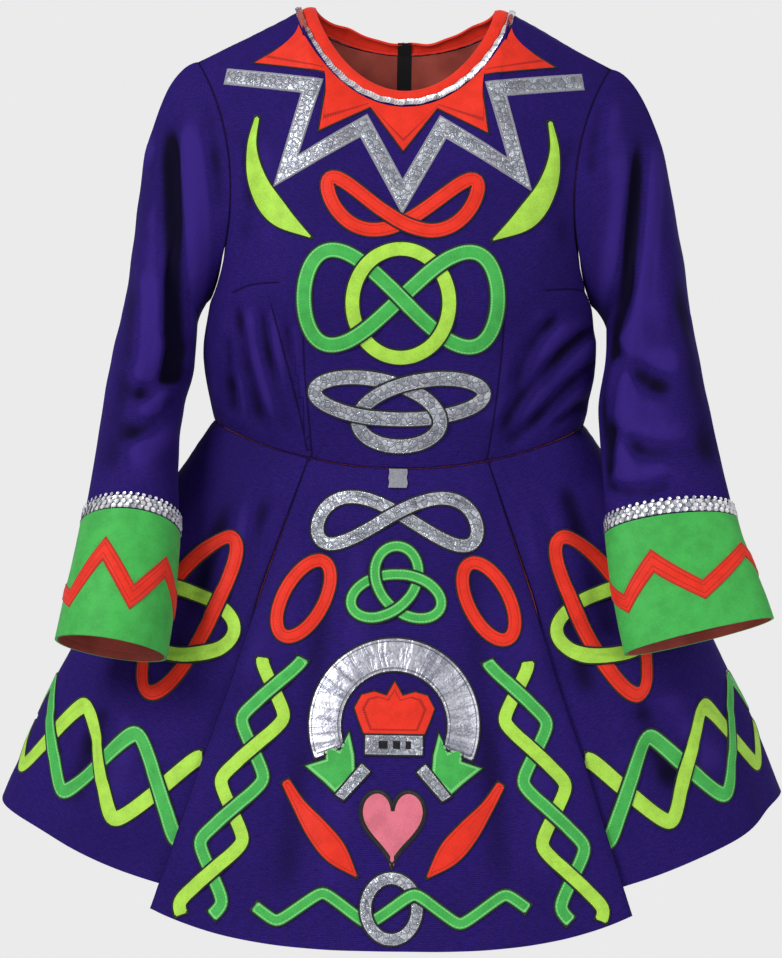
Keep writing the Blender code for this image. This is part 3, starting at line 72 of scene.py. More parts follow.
# Neck, shoulders and armholes
NECK_HALF = 0.0933
NECK_SHARE = 0.5
SHOULDER_TIP_X = 0.182
SHOULDER_DROP = 0.047
BINDING_HALF = 0.0788
ARMHOLE_HEIGHT = 0.211
ARMPIT_X = 0.168
CENTRE_ARMPIT_Z = -0.272
SIDE_SHARE = 0.4

# Waist and skirt
WAIST_HALF = 0.163
WAIST_SIDE_Z = -0.361
BUST_HALF = 0.173
HEM_HALF = 0.341
HEM_SIDE_Z = {-1: -0.690, 1: -0.678}
HEM_CENTRE_Z = -0.690
PANEL_SEAM = 0.313
PANEL_HEM_HALF = 0.200
PANEL_PROUD = 0.0155
PANEL_TUCK = 0.030
CENTRE_HEM_Z = -0.795
CENTRE_HEM_LIFT = 0.028
ROUNDNESS = 0.87

# The front and the back half of the body. Depths are y at the centre, drops are below the side or the shoulder point.
Half = namedtuple("Half", "neck_y neck_drop chest bust waist_y waist_dip arm_y arm_hollow hem_y hem_dip")
FRONT = Half(-0.062, 0.088, -0.092, -0.100, -0.075, 0.041, -0.056, 0.026, -0.183, 0.0805)
BACK = Half(0.052, 0.031, 0.084, 0.088, 0.070, 0.010, 0.060, 0.016, 0.180, 0.0600)

# Sleeve sections below the shoulder: centre, half width across and girth. Each sleeve's x is outward.
Section = namedtuple("Section", "x y z across girth")
SLEEVES = {
    "left": (
        Section(0.2100, -0.006, -0.270, 0.0325, 0.296),
        Section(0.2135, -0.022, -0.305, 0.0345, 0.286),
        Section(0.2200, -0.044, -0.345, 0.0335, 0.272),
        Section(0.2237, -0.068, -0.395, 0.0354, 0.258),
        Section(0.2245, -0.093, -0.442, 0.0392, 0.252),
        Section(0.2303, -0.127, -0.511, 0.0422, 0.262),
        Section(0.2366, -0.139, -0.556, 0.0424, 0.266),
    ),
    "right": (
        Section(0.2165, -0.008, -0.270, 0.0370, 0.292),
        Section(0.2195, -0.025, -0.305, 0.0415, 0.290),
        Section(0.2201, -0.047, -0.345, 0.0480, 0.280),
        Section(0.2242, -0.064, -0.384, 0.0500, 0.266),
        Section(0.2298, -0.083, -0.428, 0.0530, 0.262),
        Section(0.2365, -0.104, -0.470, 0.0565, 0.262),
        Section(0.2548, -0.124, -0.539, 0.0594, 0.266),
    ),
}
SIGN = {"left": -1, "right": 1}
CAP_SHARE = 0.24
CAP_LEAVE = 0.66
ARMPIT_LEAVE = 0.95
CUFF_START = 0.75
SLEEVE_END = 0.80
CUFF_EASE = 0.0026
TRIM_HEIGHT = 0.011

# Main folds, which the solids have too
SleeveFold = namedtuple("SleeveFold", "start from_angle end to_angle width depth")
SLEEVE_FOLDS = {
    "left": (
        SleeveFold(0.06, 58, 0.52, 112, 17, 0.0065),
        SleeveFold(0.10, 100, 0.34, 150, 18, 0.0035),
        SleeveFold(0.12, 290, 0.45, 240, 20, 0.0045),
    ),
    "right": (
        SleeveFold(0.06, 66, 0.55, 128, 17, 0.0070),
        SleeveFold(0.22, 48, 0.60, 112, 15, 0.0040),
        SleeveFold(0.12, 300, 0.48, 235, 20, 0.0045),
    ),
}
BodiceFold = namedtuple("BodiceFold", "x0 z0 x1 z1 width depth")
FRONT_FOLDS = (
    BodiceFold(0.168, -0.285, 0.084, -0.392, 0.0085, 0.0035),
    BodiceFold(0.166, -0.322, 0.088, -0.398, 0.0075, 0.0030),
    BodiceFold(-0.140, -0.280, -0.118, -0.380, 0.0090, 0.0028),
    BodiceFold(-0.112, -0.268, -0.084, -0.394, 0.0070, 0.0022),
)
BACK_FOLDS = (
    BodiceFold(0.150, -0.290, 0.075, -0.372, 0.0110, 0.0030),
    BodiceFold(-0.152, -0.300, -0.080, -0.370, 0.0110, 0.0032),
)
Wave = namedtuple("Wave", "angle width depth")
SKIRT_WAVES = {
    1: (Wave(57, 8, -0.004), Wave(74, 9, 0.005), Wave(108, 9, -0.006), Wave(127, 9, 0.008),
        Wave(146, 9, -0.006),
        Wave(163, 8, 0.006)),
    -1: (Wave(60, 9, 0.004), Wave(77, 8, -0.004), Wave(104, 9, 0.006), Wave(122, 9, -0.006),
         Wave(142, 10, 0.008),
         Wave(165, 8, -0.005)),
}

# Creases: a line of seen places, the trough's half width and its depth
Crease = namedtuple("Crease", "line width depth")
FRONT_CREASES = {
    "sleeve_left": (
        Crease(((-0.207, -0.092), (-0.202, -0.187), (-0.198, -0.291), (-0.194, -0.342)), 0.0100, 0.0105),
        Crease(((-0.172, -0.069), (-0.165, -0.121), (-0.153, -0.194)), 0.0080, 0.0035),
        Crease(((-0.246, -0.192), (-0.238, -0.280), (-0.248, -0.368), (-0.262, -0.429)), 0.0120, 0.0029),
        Crease(((-0.185, -0.289), (-0.209, -0.326), (-0.239, -0.346)), 0.0080, 0.0046),
        Crease(((-0.190, -0.334), (-0.218, -0.366), (-0.252, -0.377)), 0.0080, 0.0035),
        Crease(((-0.218, -0.121), (-0.227, -0.183), (-0.225, -0.245)), 0.0110, 0.0026),
    ),
    "sleeve_right": (
        Crease(((0.209, -0.092), (0.206, -0.162), (0.198, -0.239), (0.182, -0.291), (0.172, -0.342),
                (0.178, -0.394)),
               0.0080, 0.0072),
        Crease(((0.197, -0.297), (0.188, -0.340), (0.185, -0.382), (0.183, -0.424)), 0.0060, 0.0043),
        Crease(((0.176, -0.063), (0.167, -0.104), (0.165, -0.151)), 0.0080, 0.0032),
        Crease(((0.241, -0.209), (0.257, -0.289), (0.269, -0.359), (0.280, -0.412)), 0.0120, 0.0029),
        Crease(((0.181, -0.284), (0.213, -0.317), (0.250, -0.331)), 0.0090, 0.0041),
        Crease(((0.183, -0.355), (0.216, -0.382), (0.266, -0.384)), 0.0080, 0.0032),
        Crease(((0.178, -0.412), (0.213, -0.419), (0.248, -0.408)), 0.0070, 0.0026),
    ),
    "bodice": (
        Crease(((0.178, -0.268), (0.143, -0.299), (0.107, -0.341), (0.086, -0.378)), 0.0060, 0.0043),
        Crease(((0.180, -0.299), (0.148, -0.328), (0.114, -0.363), (0.090, -0.387)), 0.0060, 0.0041),
        Crease(((0.176, -0.331), (0.143, -0.357), (0.111, -0.382)), 0.0050, 0.0032),
        Crease(((0.144, -0.259), (0.116, -0.293), (0.097, -0.343)), 0.0060, 0.0029),
        Crease(((-0.146, -0.252), (-0.139, -0.297), (-0.128, -0.341), (-0.116, -0.377)), 0.0060, 0.0038),
        Crease(((-0.125, -0.253), (-0.118, -0.297), (-0.107, -0.341), (-0.095, -0.382)), 0.0055, 0.0035),
        Crease(((-0.102, -0.269), (-0.097, -0.315), (-0.088, -0.363)), 0.0045, 0.0026),
        Crease(((-0.153, -0.285), (-0.150, -0.324), (-0.144, -0.363)), 0.0060, 0.0038),
        Crease(((-0.143, -0.095), (-0.136, -0.157), (-0.143, -0.220)), 0.0090, 0.0023),
        Crease(((0.155, -0.095), (0.144, -0.157), (0.151, -0.220)), 0.0090, 0.0023),
    ),
    "skirt": (
        Crease(((0.143, -0.403), (0.169, -0.482), (0.197, -0.570)), 0.0140, 0.0038),
        Crease(((0.121, -0.412), (0.148, -0.517), (0.181, -0.623)), 0.0110, 0.0032),
        Crease(((-0.141, -0.412), (-0.171, -0.500), (-0.209, -0.605)), 0.0130, 0.0035),
        Crease(((-0.113, -0.412), (-0.134, -0.500), (-0.169, -0.605)), 0.0100, 0.0029),
        Crease(((0.213, -0.597), (0.257, -0.693)), 0.0140, 0.0035),
        Crease(((-0.253, -0.605), (-0.287, -0.711)), 0.0140, 0.0032),
        Crease(((-0.060, -0.429), (-0.067, -0.553), (-0.086, -0.693), (-0.095, -0.808)), 0.0160, 0.0023),
        Crease(((0.063, -0.429), (0.072, -0.553), (0.090, -0.693), (0.100, -0.808)), 0.0160, 0.0023),
    ),
}
# The back isn't in the photograph: its creases follow those of the front, a little uneven from side to side.
BACK_CREASES = {
    "sleeve_left": (
        Crease(((-0.205, -0.110), (-0.196, -0.200), (-0.194, -0.300)), 0.0090, 0.0040),
        Crease(((-0.182, -0.300), (-0.212, -0.322), (-0.246, -0.326)), 0.0080, 0.0036),
        Crease(((-0.186, -0.336), (-0.216, -0.352), (-0.250, -0.352)), 0.0075, 0.0028),
        Crease(((-0.236, -0.180), (-0.246, -0.260), (-0.258, -0.340)), 0.0120, 0.0020),
    ),
    "sleeve_right": (
        Crease(((0.207, -0.105), (0.202, -0.190), (0.190, -0.280), (0.180, -0.330)), 0.0090, 0.0042),
        Crease(((0.184, -0.306), (0.220, -0.330), (0.262, -0.336)), 0.0080, 0.0034),
        Crease(((0.186, -0.346), (0.224, -0.364), (0.268, -0.362)), 0.0075, 0.0028),
        Crease(((0.240, -0.170), (0.256, -0.260), (0.272, -0.340)), 0.0120, 0.0022),
    ),
    "bodice": (
        Crease(((0.160, -0.262), (0.128, -0.296), (0.086, -0.336), (0.062, -0.362)), 0.0070, 0.0030),
        Crease(((0.158, -0.306), (0.122, -0.334), (0.078, -0.358)), 0.0060, 0.0024),
        Crease(((-0.162, -0.270), (-0.130, -0.300), (-0.094, -0.334), (-0.068, -0.358)), 0.0070, 0.0032),
        Crease(((-0.160, -0.316), (-0.120, -0.340), (-0.082, -0.360)), 0.0060, 0.0024),
        Crease(((0.060, -0.090), (0.066, -0.150), (0.058, -0.210)), 0.0110, 0.0016),
        Crease(((-0.064, -0.084), (-0.058, -0.150), (-0.066, -0.215)), 0.0110, 0.0018),
    ),
    "skirt": (
        Crease(((0.060, -0.395), (0.088, -0.520), (0.112, -0.680)), 0.0140, 0.0026),
        Crease(((0.118, -0.390), (0.168, -0.520), (0.216, -0.660)), 0.0140, 0.0028),
        Crease(((-0.052, -0.395), (-0.074, -0.520), (-0.104, -0.690)), 0.0130, 0.0026),
        Crease(((-0.112, -0.392), (-0.156, -0.520), (-0.206, -0.650)), 0.0140, 0.0028),
    ),
}
# Darts and their seen lines, which are sewn flat
FRONT_DARTS = (
    ((0.180, -0.251), (0.157, -0.242), (0.123, -0.243)),
    ((-0.150, -0.250), (-0.132, -0.242), (-0.103, -0.239)),
    ((0.077, -0.403), (0.084, -0.354), (0.090, -0.297), (0.092, -0.253)),
    ((-0.076, -0.394), (-0.080, -0.355), (-0.084, -0.316), (-0.086, -0.280)),
    ((-0.080, -0.390), (-0.088, -0.354), (-0.098, -0.317), (-0.117, -0.250)),
)
BACK_DARTS = (
    ((0.072, -0.362), (0.076, -0.310), (0.078, -0.250)),
    ((-0.072, -0.362), (-0.076, -0.310), (-0.078, -0.250)),
)

# Closed straps are sums of waves: x adds wide * sin(n t + x_turn) and z adds high * cos(n t + z_turn).
Harmonic = namedtuple("Harmonic", "n wide x_turn high z_turn")
KNOTS = {
    "ring": (Harmonic(1, 1, 0, 1, 0),),
    "eight": (Harmonic(1, 1, 0, 0, 0), Harmonic(2, 0, 0, 1, -90)),
    "bow": (Harmonic(1, 1, 0, 0, 0), Harmonic(2, 0, 0, 1, -135)),
    "arch": (Harmonic(1, 1, 0, 0, 0), Harmonic(2, 0, 0, 1, -69)),
    "trinity": (Harmonic(1, 1, 0, 1, 0), Harmonic(2, 2, 0, -2, 0)),
}
Knot = namedtuple("Knot", "name slot kind x z wide high lean strap")
BODICE_KNOTS = (
    Knot("orange_bow", "orange_crepe", "bow", 0, -0.1775, 0.064, 0.0225, 0, 0.013),
    Knot("green_eight", "green_crepe", "eight", 0, -0.258, 0.082, 0.040, 0, 0.014),
    Knot("lime_ring", "lime_crepe", "ring", 0, -0.262, 0.041, 0.046, 0, 0.013),
    Knot("silver_trinity", "silver_cloth", "trinity", 0, -0.354, 0.072, 0.029, 0, 0.013),
)
PANEL_KNOTS = (
    Knot("silver_arch", "silver_cloth", "arch", 0, -0.447, 0.068, 0.020, 0, 0.012),
    Knot("green_trinity", "green_crepe", "trinity", 0, -0.498, 0.038, 0.030, 180, 0.010),
    Knot("orange_oval_left", "orange_crepe", "ring", -0.078, -0.513, 0.017, 0.035, -28, 0.012),
    Knot("orange_oval_right", "orange_crepe", "ring", 0.078, -0.513, 0.017, 0.035, 28, 0.012),
    Knot("silver_loop", "silver_cloth", "ring", 0, -0.762, 0.021, 0.024, 0, 0.0105),
)
# Places on a side panel are distances in from the centre panel's seam and up from the hem.
FLANK_KNOTS = (
    Knot("orange_loop", "orange_crepe", "ring", 0.060, 0.222, 0.023, 0.078, 16, 0.013),
    Knot("lime_loop", "lime_crepe", "ring", 0.068, 0.212, 0.056, 0.027, -12, 0.013),
)
Plait = namedtuple("Plait", "start end base swing wave strap")
HEM_PLAIT = Plait(0.020, 0.232, 0.074, 0.036, 0.124, 0.014)
EDGE_PLAIT = Plait(-0.562, -0.772, 0.033, 0.017, 0.100, 0.012)
WAVE_STRAP = Plait(-0.1125, 0.1125, -0.762, 0.011, 0.075, 0.0105)
PLAIT_ROUNDING = 0.94
Rib = namedtuple("Rib", "x z width")
LIME_LEAF = (Rib(0.126, -0.100, 0.005), Rib(0.130, -0.128, 0.010), Rib(0.124, -0.158, 0.018),
             Rib(0.106, -0.186, 0.021),
             Rib(0.076, -0.208, 0.002))
ORANGE_LEAF = (Rib(0.090, -0.662, 0.008), Rib(0.078, -0.681, 0.012), Rib(0.062, -0.701, 0.020),
               Rib(0.046, -0.719, 0.020),
               Rib(0.028, -0.738, 0.002))
ZIGZAG = ((0.157, -0.062), (0.079, -0.074), (0.100, -0.149), (0.034, -0.109), (0.0, -0.171))
ZIGZAG_STRAP = 0.0135
Point = namedtuple("Point", "x z turn")
YOKE_POINTS = (Point(0.098, -0.031, 72), Point(0.132, -0.051, 64), Point(0.066, -0.062, 50),
               Point(0.073, -0.115, 38),
               Point(0.029, -0.093, 21), Point(0.0, -0.132, 0))
YOKE_INSET = 0.004

# The claddagh, with its crown's band and its cuffs
RING_AT = (0.0, -0.616)
RING_RADIUS = 0.0577
RING_WIDTH = 0.028
RING_END = 24
HEART_AT = (0.0, -0.694)
HEART_WIDE = 0.0265
HEART_HIGH = 0.00207
CROWN = ((0.0, -0.579), (0.007, -0.591), (0.017, -0.588), (0.028, -0.591), (0.034, -0.602), (0.030, -0.613),
         (0.025, -0.625))
CROWN_MIDDLE = (0.0, -0.606)
HAND = ((0.031, -0.657), (0.032, -0.640), (0.037, -0.620), (0.045, -0.636), (0.058, -0.630), (0.057, -0.644),
        (0.075, -0.650), (0.058, -0.663), (0.048, -0.672))
HAND_MIDDLE = (0.046, -0.652)
CROWN_BAND = ((-0.0245, -0.6235), (0.0245, -0.6235), (0.0245, -0.6405), (-0.0245, -0.6405))
CROWN_SLOTS = ((-0.0125, -0.0055), (-0.0005, 0.0050), (0.0100, 0.0140))
CROWN_SLOT_TOP = -0.6290
CROWN_SLOT_END = -0.6350
HAND_CUFF = ((0.0265, -0.6463), (0.0487, -0.6728), (0.0405, -0.6777), (0.0183, -0.6537))
Corner = namedtuple("Corner", "facet height")
CUFF_ZIGZAG = {
    "left": (Corner(0, 0.42), Corner(2, 0.30), Corner(4, 0.66), Corner(6, 0.34), Corner(8, 0.62),
             Corner(10, 0.38),
             Corner(12, 0.66), Corner(14, 0.34), Corner(17, 0.68)),
    "right": (Corner(0, 0.42), Corner(2, 0.34), Corner(4, 0.70), Corner(7, 0.30), Corner(9, 0.60),
              Corner(11, 0.40),
              Corner(13, 0.66), Corner(15, 0.34), Corner(18, 0.64)),
}
CUFF_FACETS = 20
CUFF_STRAP = 0.011

# The profile of an applique: distance in from its cut edge, and height off its panel. The satin stitch is the ridge.
PROFILE = ((-0.0009, -0.0004), (-0.00075, 0.0006), (-0.0001, 0.0011), (0.0005, 0.0008), (0.0008, 0.0006),
           (0.0018, 0.0009), (0.0035, 0.0011), (0.0070, 0.0012))
SATIN_EDGE = 0.0012
CROSS_RISE = 0.0013
CROSS_MARGIN = 0.003
CROSS_FALL = 0.009
APPLIQUE_STEP = 0.0022

# Grids of the sheets, the zip, the sequins and the binding's worn places behind
BODICE_ROWS = np.concatenate((np.linspace(0, SIDE_SHARE, 34)[:-1], np.linspace(SIDE_SHARE, 1, 76)))
SKIRT_ROWS = np.linspace(1, 0, 91)
SIDE_SOFT = 0.07
ARM_BASE = 36
BACK_ZIP_HALF = 0.0028
ZIP_END_Z = -0.53
TAPE_HALF = 0.0062
TAPE_WALL = 0.0008
TOOTH_STEP = 0.0030
SequinRow = namedtuple("SequinRow", "share radius")
BRAID_ROWS = (SequinRow(0.12, 0.0021), SequinRow(0.46, 0.0021), SequinRow(0.80, 0.0021),
              SequinRow(1.12, 0.0016))
BRAID_STEP = 3
Worn = namedtuple("Worn", "rise x reach")
WORN_BINDING = (Worn(0.0032, -0.050, 0.011), Worn(0.0026, 0.060, 0.010), Worn(-0.0022, -0.010, 0.012),
                Worn(-0.0030, 0.022, 0.012))

# Colours
# Painted shade for the crease troughs and the seams, and painted light for the crease ridges
WOOL_PAINTED_SHADE = (0.0022, 0.0008, 0.011, 1)
WOOL_PAINTED_RIDGE_LIGHT = (0.0520, 0.0240, 0.270, 1)
WOOL_DARK = (0.0100, 0.0036, 0.066, 1)
WOOL_LIGHT = (0.0400, 0.0165, 0.245, 1)
GREEN, GREEN_LINE = (0.060, 0.510, 0.085), (0.27, 0.80, 0.26)
LIME, ORANGE, ORANGE_LINE = (0.480, 0.860, 0.080), (1.0, 0.028, 0.006), (0.42, 0.010, 0.004)
PINK = (0.860, 0.200, 0.280)

# Lights and floor
Lamp = namedtuple("Lamp", "name place wide high power")
LAMPS = (Lamp("key", (-1.9, -2.3, 1.3), 1.1, 1.1, 62), Lamp("fill", (1.9, -2.0, 0.3), 1.2, 1.6, 16),
         Lamp("back", (0.6, 2.4, 0.9), 1.4, 1.4, 26))
LAMP_AIM = (0, 0, -0.4)
WORLD_LIGHT = 0.38
FLOOR_Z = -1.25
FLOOR_BACK = 2.2


def smooth(x):
    x = np.clip(x, 0.0, 1.0)
    return x * x * (3 - 2 * x)


def unit(v):
    return v / np.maximum(np.linalg.norm(v, axis=-1, keepdims=True), 1e-12)


def seen(points):
    """Where points appear in the plane y = 0, from the camera."""
    near = CAMERA_AWAY / (CAMERA_AWAY + points[..., 1])
    return np.stack((points[..., 0] * near, CAMERA_Z + (points[..., 2] - CAMERA_Z) * near), axis=-1)


# The forms of the cloth, as the solids have them


def through(places, values, at):
    """A smooth curve through values at places, read at one place: cubic, with slopes taken from the neighbours."""
    places = np.asarray(places, float)
    values = np.asarray(values, float)
    slopes = np.gradient(values, places, axis=0)
    k = int(np.clip(np.searchsorted(places, at) - 1, 0, len(places) - 2))
    span = places[k + 1] - places[k]
    f = (at - places[k]) / span
    ends = values[k] * (1 + 2 * f) * (1 - f) ** 2 + values[k + 1] * f * f * (3 - 2 * f)
    return ends + span * (slopes[k] * f * (1 - f) ** 2 - slopes[k + 1] * f * f * (1 - f))


def arc(angle):
    """How far a body section has gone back at an angle from the front, a little squarer than round."""
    return np.sign(math.cos(angle)) * abs(math.cos(angle)) ** ROUNDNESS


def armhole(psi, half):
    """The armhole's edge: psi runs from 0 at the shoulder tip to pi at the armpit."""
    level = (1 + math.cos(psi)) / 2
    hollow = math.sin(psi)
    x = ARMPIT_X + (SHOULDER_TIP_X - ARMPIT_X) * level - half.arm_hollow * hollow ** 1.8
    return np.array((x, half.arm_y * hollow, -SHOULDER_DROP - ARMHOLE_HEIGHT * (1 - level)))


def top_edge(s, half):
    """The neck seam from the centre to the high shoulder point, then the shoulder seam out to its tip."""
    if s <= NECK_SHARE:
        turn = math.pi / 2 * s / NECK_SHARE
        fall = max(math.cos(turn), 0.0)
        return np.array((NECK_HALF * math.sin(turn), half.neck_y * fall, -half.neck_drop * fall ** 1.5))
    f = (s - NECK_SHARE) / (1 - NECK_SHARE)
    return np.array((NECK_HALF + (SHOULDER_TIP_X - NECK_HALF) * f, 0.0, -SHOULDER_DROP * f))


def fold_depth(x, z, folds):
    """How deep the main folds are at a point of the front view."""
    total = 0.0
    for fold in folds:
        run = np.array((fold.x1 - fold.x0, fold.z1 - fold.z0))
        away = np.array((x - fold.x0, z - fold.z0))
        along = float(away @ run / (run @ run))
        across = abs(float(away[0] * run[1] - away[1] * run[0])) / math.hypot(*run)
        fade = float(smooth(along / 0.25) * smooth((1.05 - along) / 0.25))
        total += fold.depth * fade * math.exp(-(across / fold.width) ** 2)
    return total


def bodice_point(s, t, side, half):
    """The bodice's outer face: s from the centre to the side, t from the waist to the top, side -1 or 1."""
    phi = math.pi / 2 * s
    low = min(t / SIDE_SHARE, 1.0)
    high = max(t - SIDE_SHARE, 0.0) / (1 - SIDE_SHARE)
    level = (1 - math.cos(math.pi * high)) / 2
    centre_low = WAIST_SIDE_Z - half.waist_dip
    centre_top = -half.neck_drop
    if high > 0:
        edge = armhole(math.pi * (1 - high), half)
        centre_z = CENTRE_ARMPIT_Z + (centre_top - CENTRE_ARMPIT_Z) * level
    else:
        edge_x = float(through((0, 0.62, 1), (WAIST_HALF, BUST_HALF, ARMPIT_X), low))
        edge = np.array((edge_x, 0.0, WAIST_SIDE_Z + (-SHOULDER_DROP - ARMHOLE_HEIGHT - WAIST_SIDE_Z) * low))
        centre_z = centre_low + (CENTRE_ARMPIT_Z - centre_low) * low
    depths = (half.waist_y, half.waist_y + 0.55 * (half.bust - half.waist_y), half.bust, half.chest,
              half.neck_y)
    heights = (0, 0.5 * SIDE_SHARE, SIDE_SHARE, SIDE_SHARE + 0.5 * (1 - SIDE_SHARE), 1)
    centre_y = float(through(heights, depths, t))
    wrap = 1 - 0.42 * float(smooth(high * 2.0))
    x = edge[0] * math.sin(wrap * phi) / math.sin(wrap * math.pi / 2)
    back = (1 - arc(wrap * phi)) / (1 - arc(wrap * math.pi / 2))
    y = centre_y + (edge[1] - centre_y) * back
    spread = 1 - abs(math.cos(phi)) ** 1.7
    z = centre_z + (edge[2] - centre_z) * spread
    top, tip, middle = top_edge(s, half), top_edge(1.0, half), top_edge(0.0, half)
    near = float(smooth((high - 0.15) / 0.85))
    x += near * (top[0] * edge[0] / tip[0] - x)
    z += near * (top[2] - middle[2] - (tip[2] - middle[2]) * spread)
    rounding = 1 - math.sqrt(max(1 - level ** 3, 0.0))
    y += rounding * (top[1] - y)
    if half is FRONT:
        y -= 0.009 * math.exp(-((x - 0.074) / 0.042) ** 2 - ((z + 0.238) / 0.050) ** 2)
    folds = FRONT_FOLDS if half is FRONT else BACK_FOLDS
    y -= math.copysign(fold_depth(side * x, z, folds) * float(smooth(t / 0.08)), half.bust)
    return np.array((side * x, y, z))


@lru_cache(maxsize=None)
def waist_z(s, side, half):
    return float(bodice_point(s, 0.0, side, half)[2])


def skirt_width(t):
    return WAIST_HALF + (HEM_HALF - WAIST_HALF) * t + 0.05 * t * (1 - t)


def skirt_shape(s, t, side, half):
    """The skirt's outer face on its round form: s from the centre to the side, t from the waist to the hem."""
    phi = math.pi / 2 * s
    depth = half.waist_y + (half.hem_y - half.waist_y) * t
    z_waist = waist_z(s, side, half)
    side_z = HEM_SIDE_Z[side]
    z_hem = side_z - (half.hem_dip + side_z - HEM_CENTRE_Z) * abs(math.cos(phi)) ** 1.64
    angle = math.degrees(phi) if half is FRONT else 180 - math.degrees(phi)
    swell = sum(wave.depth * math.exp(-((angle - wave.angle) / wave.width) ** 2) for wave in SKIRT_WAVES[side])
    swell *= float(smooth(t * 1.1)) * t
    x = (skirt_width(t) - swell * math.sin(phi)) * math.sin(phi)
    y = depth * arc(phi) - math.copysign(swell * arc(phi), depth)
    return np.array((side * x, y, z_waist + (z_hem - z_waist) * t))


def panel_half(t):
    return WAIST_HALF * math.sin(math.pi / 2 * PANEL_SEAM) * (1 - t) + PANEL_HEM_HALF * t


def centre_panel_point(c, t):
    """The centre panel: c from -1 to 1 between its seams. It stands proud of the skirt's round form."""
    side = -1 if c < 0 else 1
    x = panel_half(t) * abs(c)
    ratio = min(x / skirt_width(t), 1.0)
    depth = FRONT.waist_y + (FRONT.hem_y - FRONT.waist_y) * t
    z_waist = waist_z(math.asin(ratio) * 2 / math.pi, side, FRONT)
    z_hem = CENTRE_HEM_Z + CENTRE_HEM_LIFT * abs(c) ** 3.0
    return np.array((side * x, depth * arc(math.asin(ratio)) - PANEL_PROUD * t ** 0.8,
                     z_waist + (z_hem - z_waist) * t))


def side_panel_point(f, t, side):
    """A side panel: f from 0 at the edge tucked behind the centre panel to 1 at the side seam."""
    tuck = PANEL_TUCK * float(smooth((t - 0.28) / 0.6))
    start = math.asin(min((panel_half(t) - tuck) / skirt_width(t), 1.0)) * 2 / math.pi
    point = skirt_shape(start + (1 - start) * f, t, side, FRONT)
    inward = 0.0035 * float(smooth((t - 0.2) / 0.5)) * math.exp(-(f / 0.10) ** 2)
    return point + np.array((0, inward, 0))


def half_depth(across, girth):
    """The half depth of an oval section from its half width and its girth."""
    low, high = 0.001, 0.2
    for _ in range(40):
        mid = (low + high) / 2
        total = math.pi * (3 * (across + mid) - math.sqrt((3 * across + mid) * (across + 3 * mid)))
        low, high = (mid, high) if total < girth else (low, mid)
    return low


@lru_cache(maxsize=None)
def sleeve_line(side):
    """Where a sleeve's sections are along it, and what each holds: its centre, half width and half depth."""
    sections = SLEEVES[side]
    lengths = [0.0]
    for a, b in zip(sections, sections[1:]):
        lengths.append(lengths[-1] + math.dist(a[:3], b[:3]))
    places = tuple(CAP_SHARE + (1 - CAP_SHARE) * run / lengths[-1] for run in lengths)
    return places, tuple((p.x, p.y, p.z, p.across, half_depth(p.across, p.girth)) for p in sections)


@lru_cache(maxsize=None)
def sleeve_section(at, side):
    """The section at a place: its centre, its outward and front half axes, and the way down."""
    places, table = sleeve_line(side)
    x, y, z, across, deep = through(places, table, at)
    ahead = through(places, table, min(at + 0.02, 1.0))[:3]
    behind = through(places, table, max(at - 0.02, CAP_SHARE))[:3]
    down = unit(ahead - behind)
    out = unit(np.array((1.0, 0, 0)) - down * down[0])
    front = np.cross(out, down)
    front = front if front[1] < 0 else -front
    return np.array((x, y, z)), across * out, deep * front, down


def sleeve_point(psi, w, side):
    """A sleeve's outer face: psi round the arm (0 outside, 90 degrees front), w from the armhole (0) to the mouth (1)."""
    middle, out, front, down = sleeve_section(max(w, CAP_SHARE), side)
    point = middle + out * math.cos(psi) + front * math.sin(psi)
    if w < CAP_SHARE:
        half = FRONT if math.sin(psi) >= 0 else BACK
        turn = psi if psi <= math.pi else 2 * math.pi - psi
        begin = bodice_point(1.0, SIDE_SHARE + (1 - SIDE_SHARE) * (1 - turn / math.pi), SIGN[side], half)
        begin[0] *= SIGN[side]
        reach = np.linalg.norm(point - begin)
        low = (1 - math.cos(turn)) / 2
        leave = unit(np.array((1.0, 0.0, -0.28 - 0.35 * low))) * reach * (CAP_LEAVE
                                                                          + (ARMPIT_LEAVE - CAP_LEAVE) * low)
        arrive = down * reach * (0.9 if turn < 2.2 else 0.7)
        f = w / CAP_SHARE
        point = (begin * (1 + 2 * f) * (1 - f) ** 2 + point * f * f * (3 - 2 * f)
                 + leave * f * (1 - f) ** 2 - arrive * f * f * (1 - f))
    degrees = math.degrees(psi)
    sink = 0.0
    for fold in SLEEVE_FOLDS[side]:
        along = (w - fold.start) / (fold.end - fold.start)
        line = fold.from_angle + (fold.to_angle - fold.from_angle) * along
        fade = float(smooth(along / 0.3) * smooth((1.1 - along) / 0.35))
        sink += fold.depth * fade * math.exp(-((degrees - line) / fold.width) ** 2)
    inward = unit((middle - point) * np.array((1, 1, 0.2)))
    return (point + inward * sink) * np.array((SIGN[side], 1, 1))


# Fine sheets


def finer_columns(grid, count, wrap=False):
    """The grid with count times as many columns, on smooth curves through its own."""
    ends = (grid[:, -1:], grid[:, :2]) if wrap else (2 * grid[:, :1] - grid[:, 1:2],
                                                     2 * grid[:, -1:] - grid[:, -2:-1])
    wide = np.concatenate((ends[0], grid, ends[1]), axis=1)
    last = grid.shape[1] if wrap else grid.shape[1] - 1
    a, b, c, d = (wide[:, k:k + last] for k in range(4))
    made = []
    for k in range(count):
        f = k / count
        made.append(b + 0.5 * f * (c - a + f * (2 * a - 5 * b + 4 * c - d + f * (3 * (b - c) + d - a))))
    fine = np.stack(made, axis=2).reshape(grid.shape[0], last * count, 3)
    return fine if wrap else np.concatenate((fine, grid[:, -1:]), axis=1)


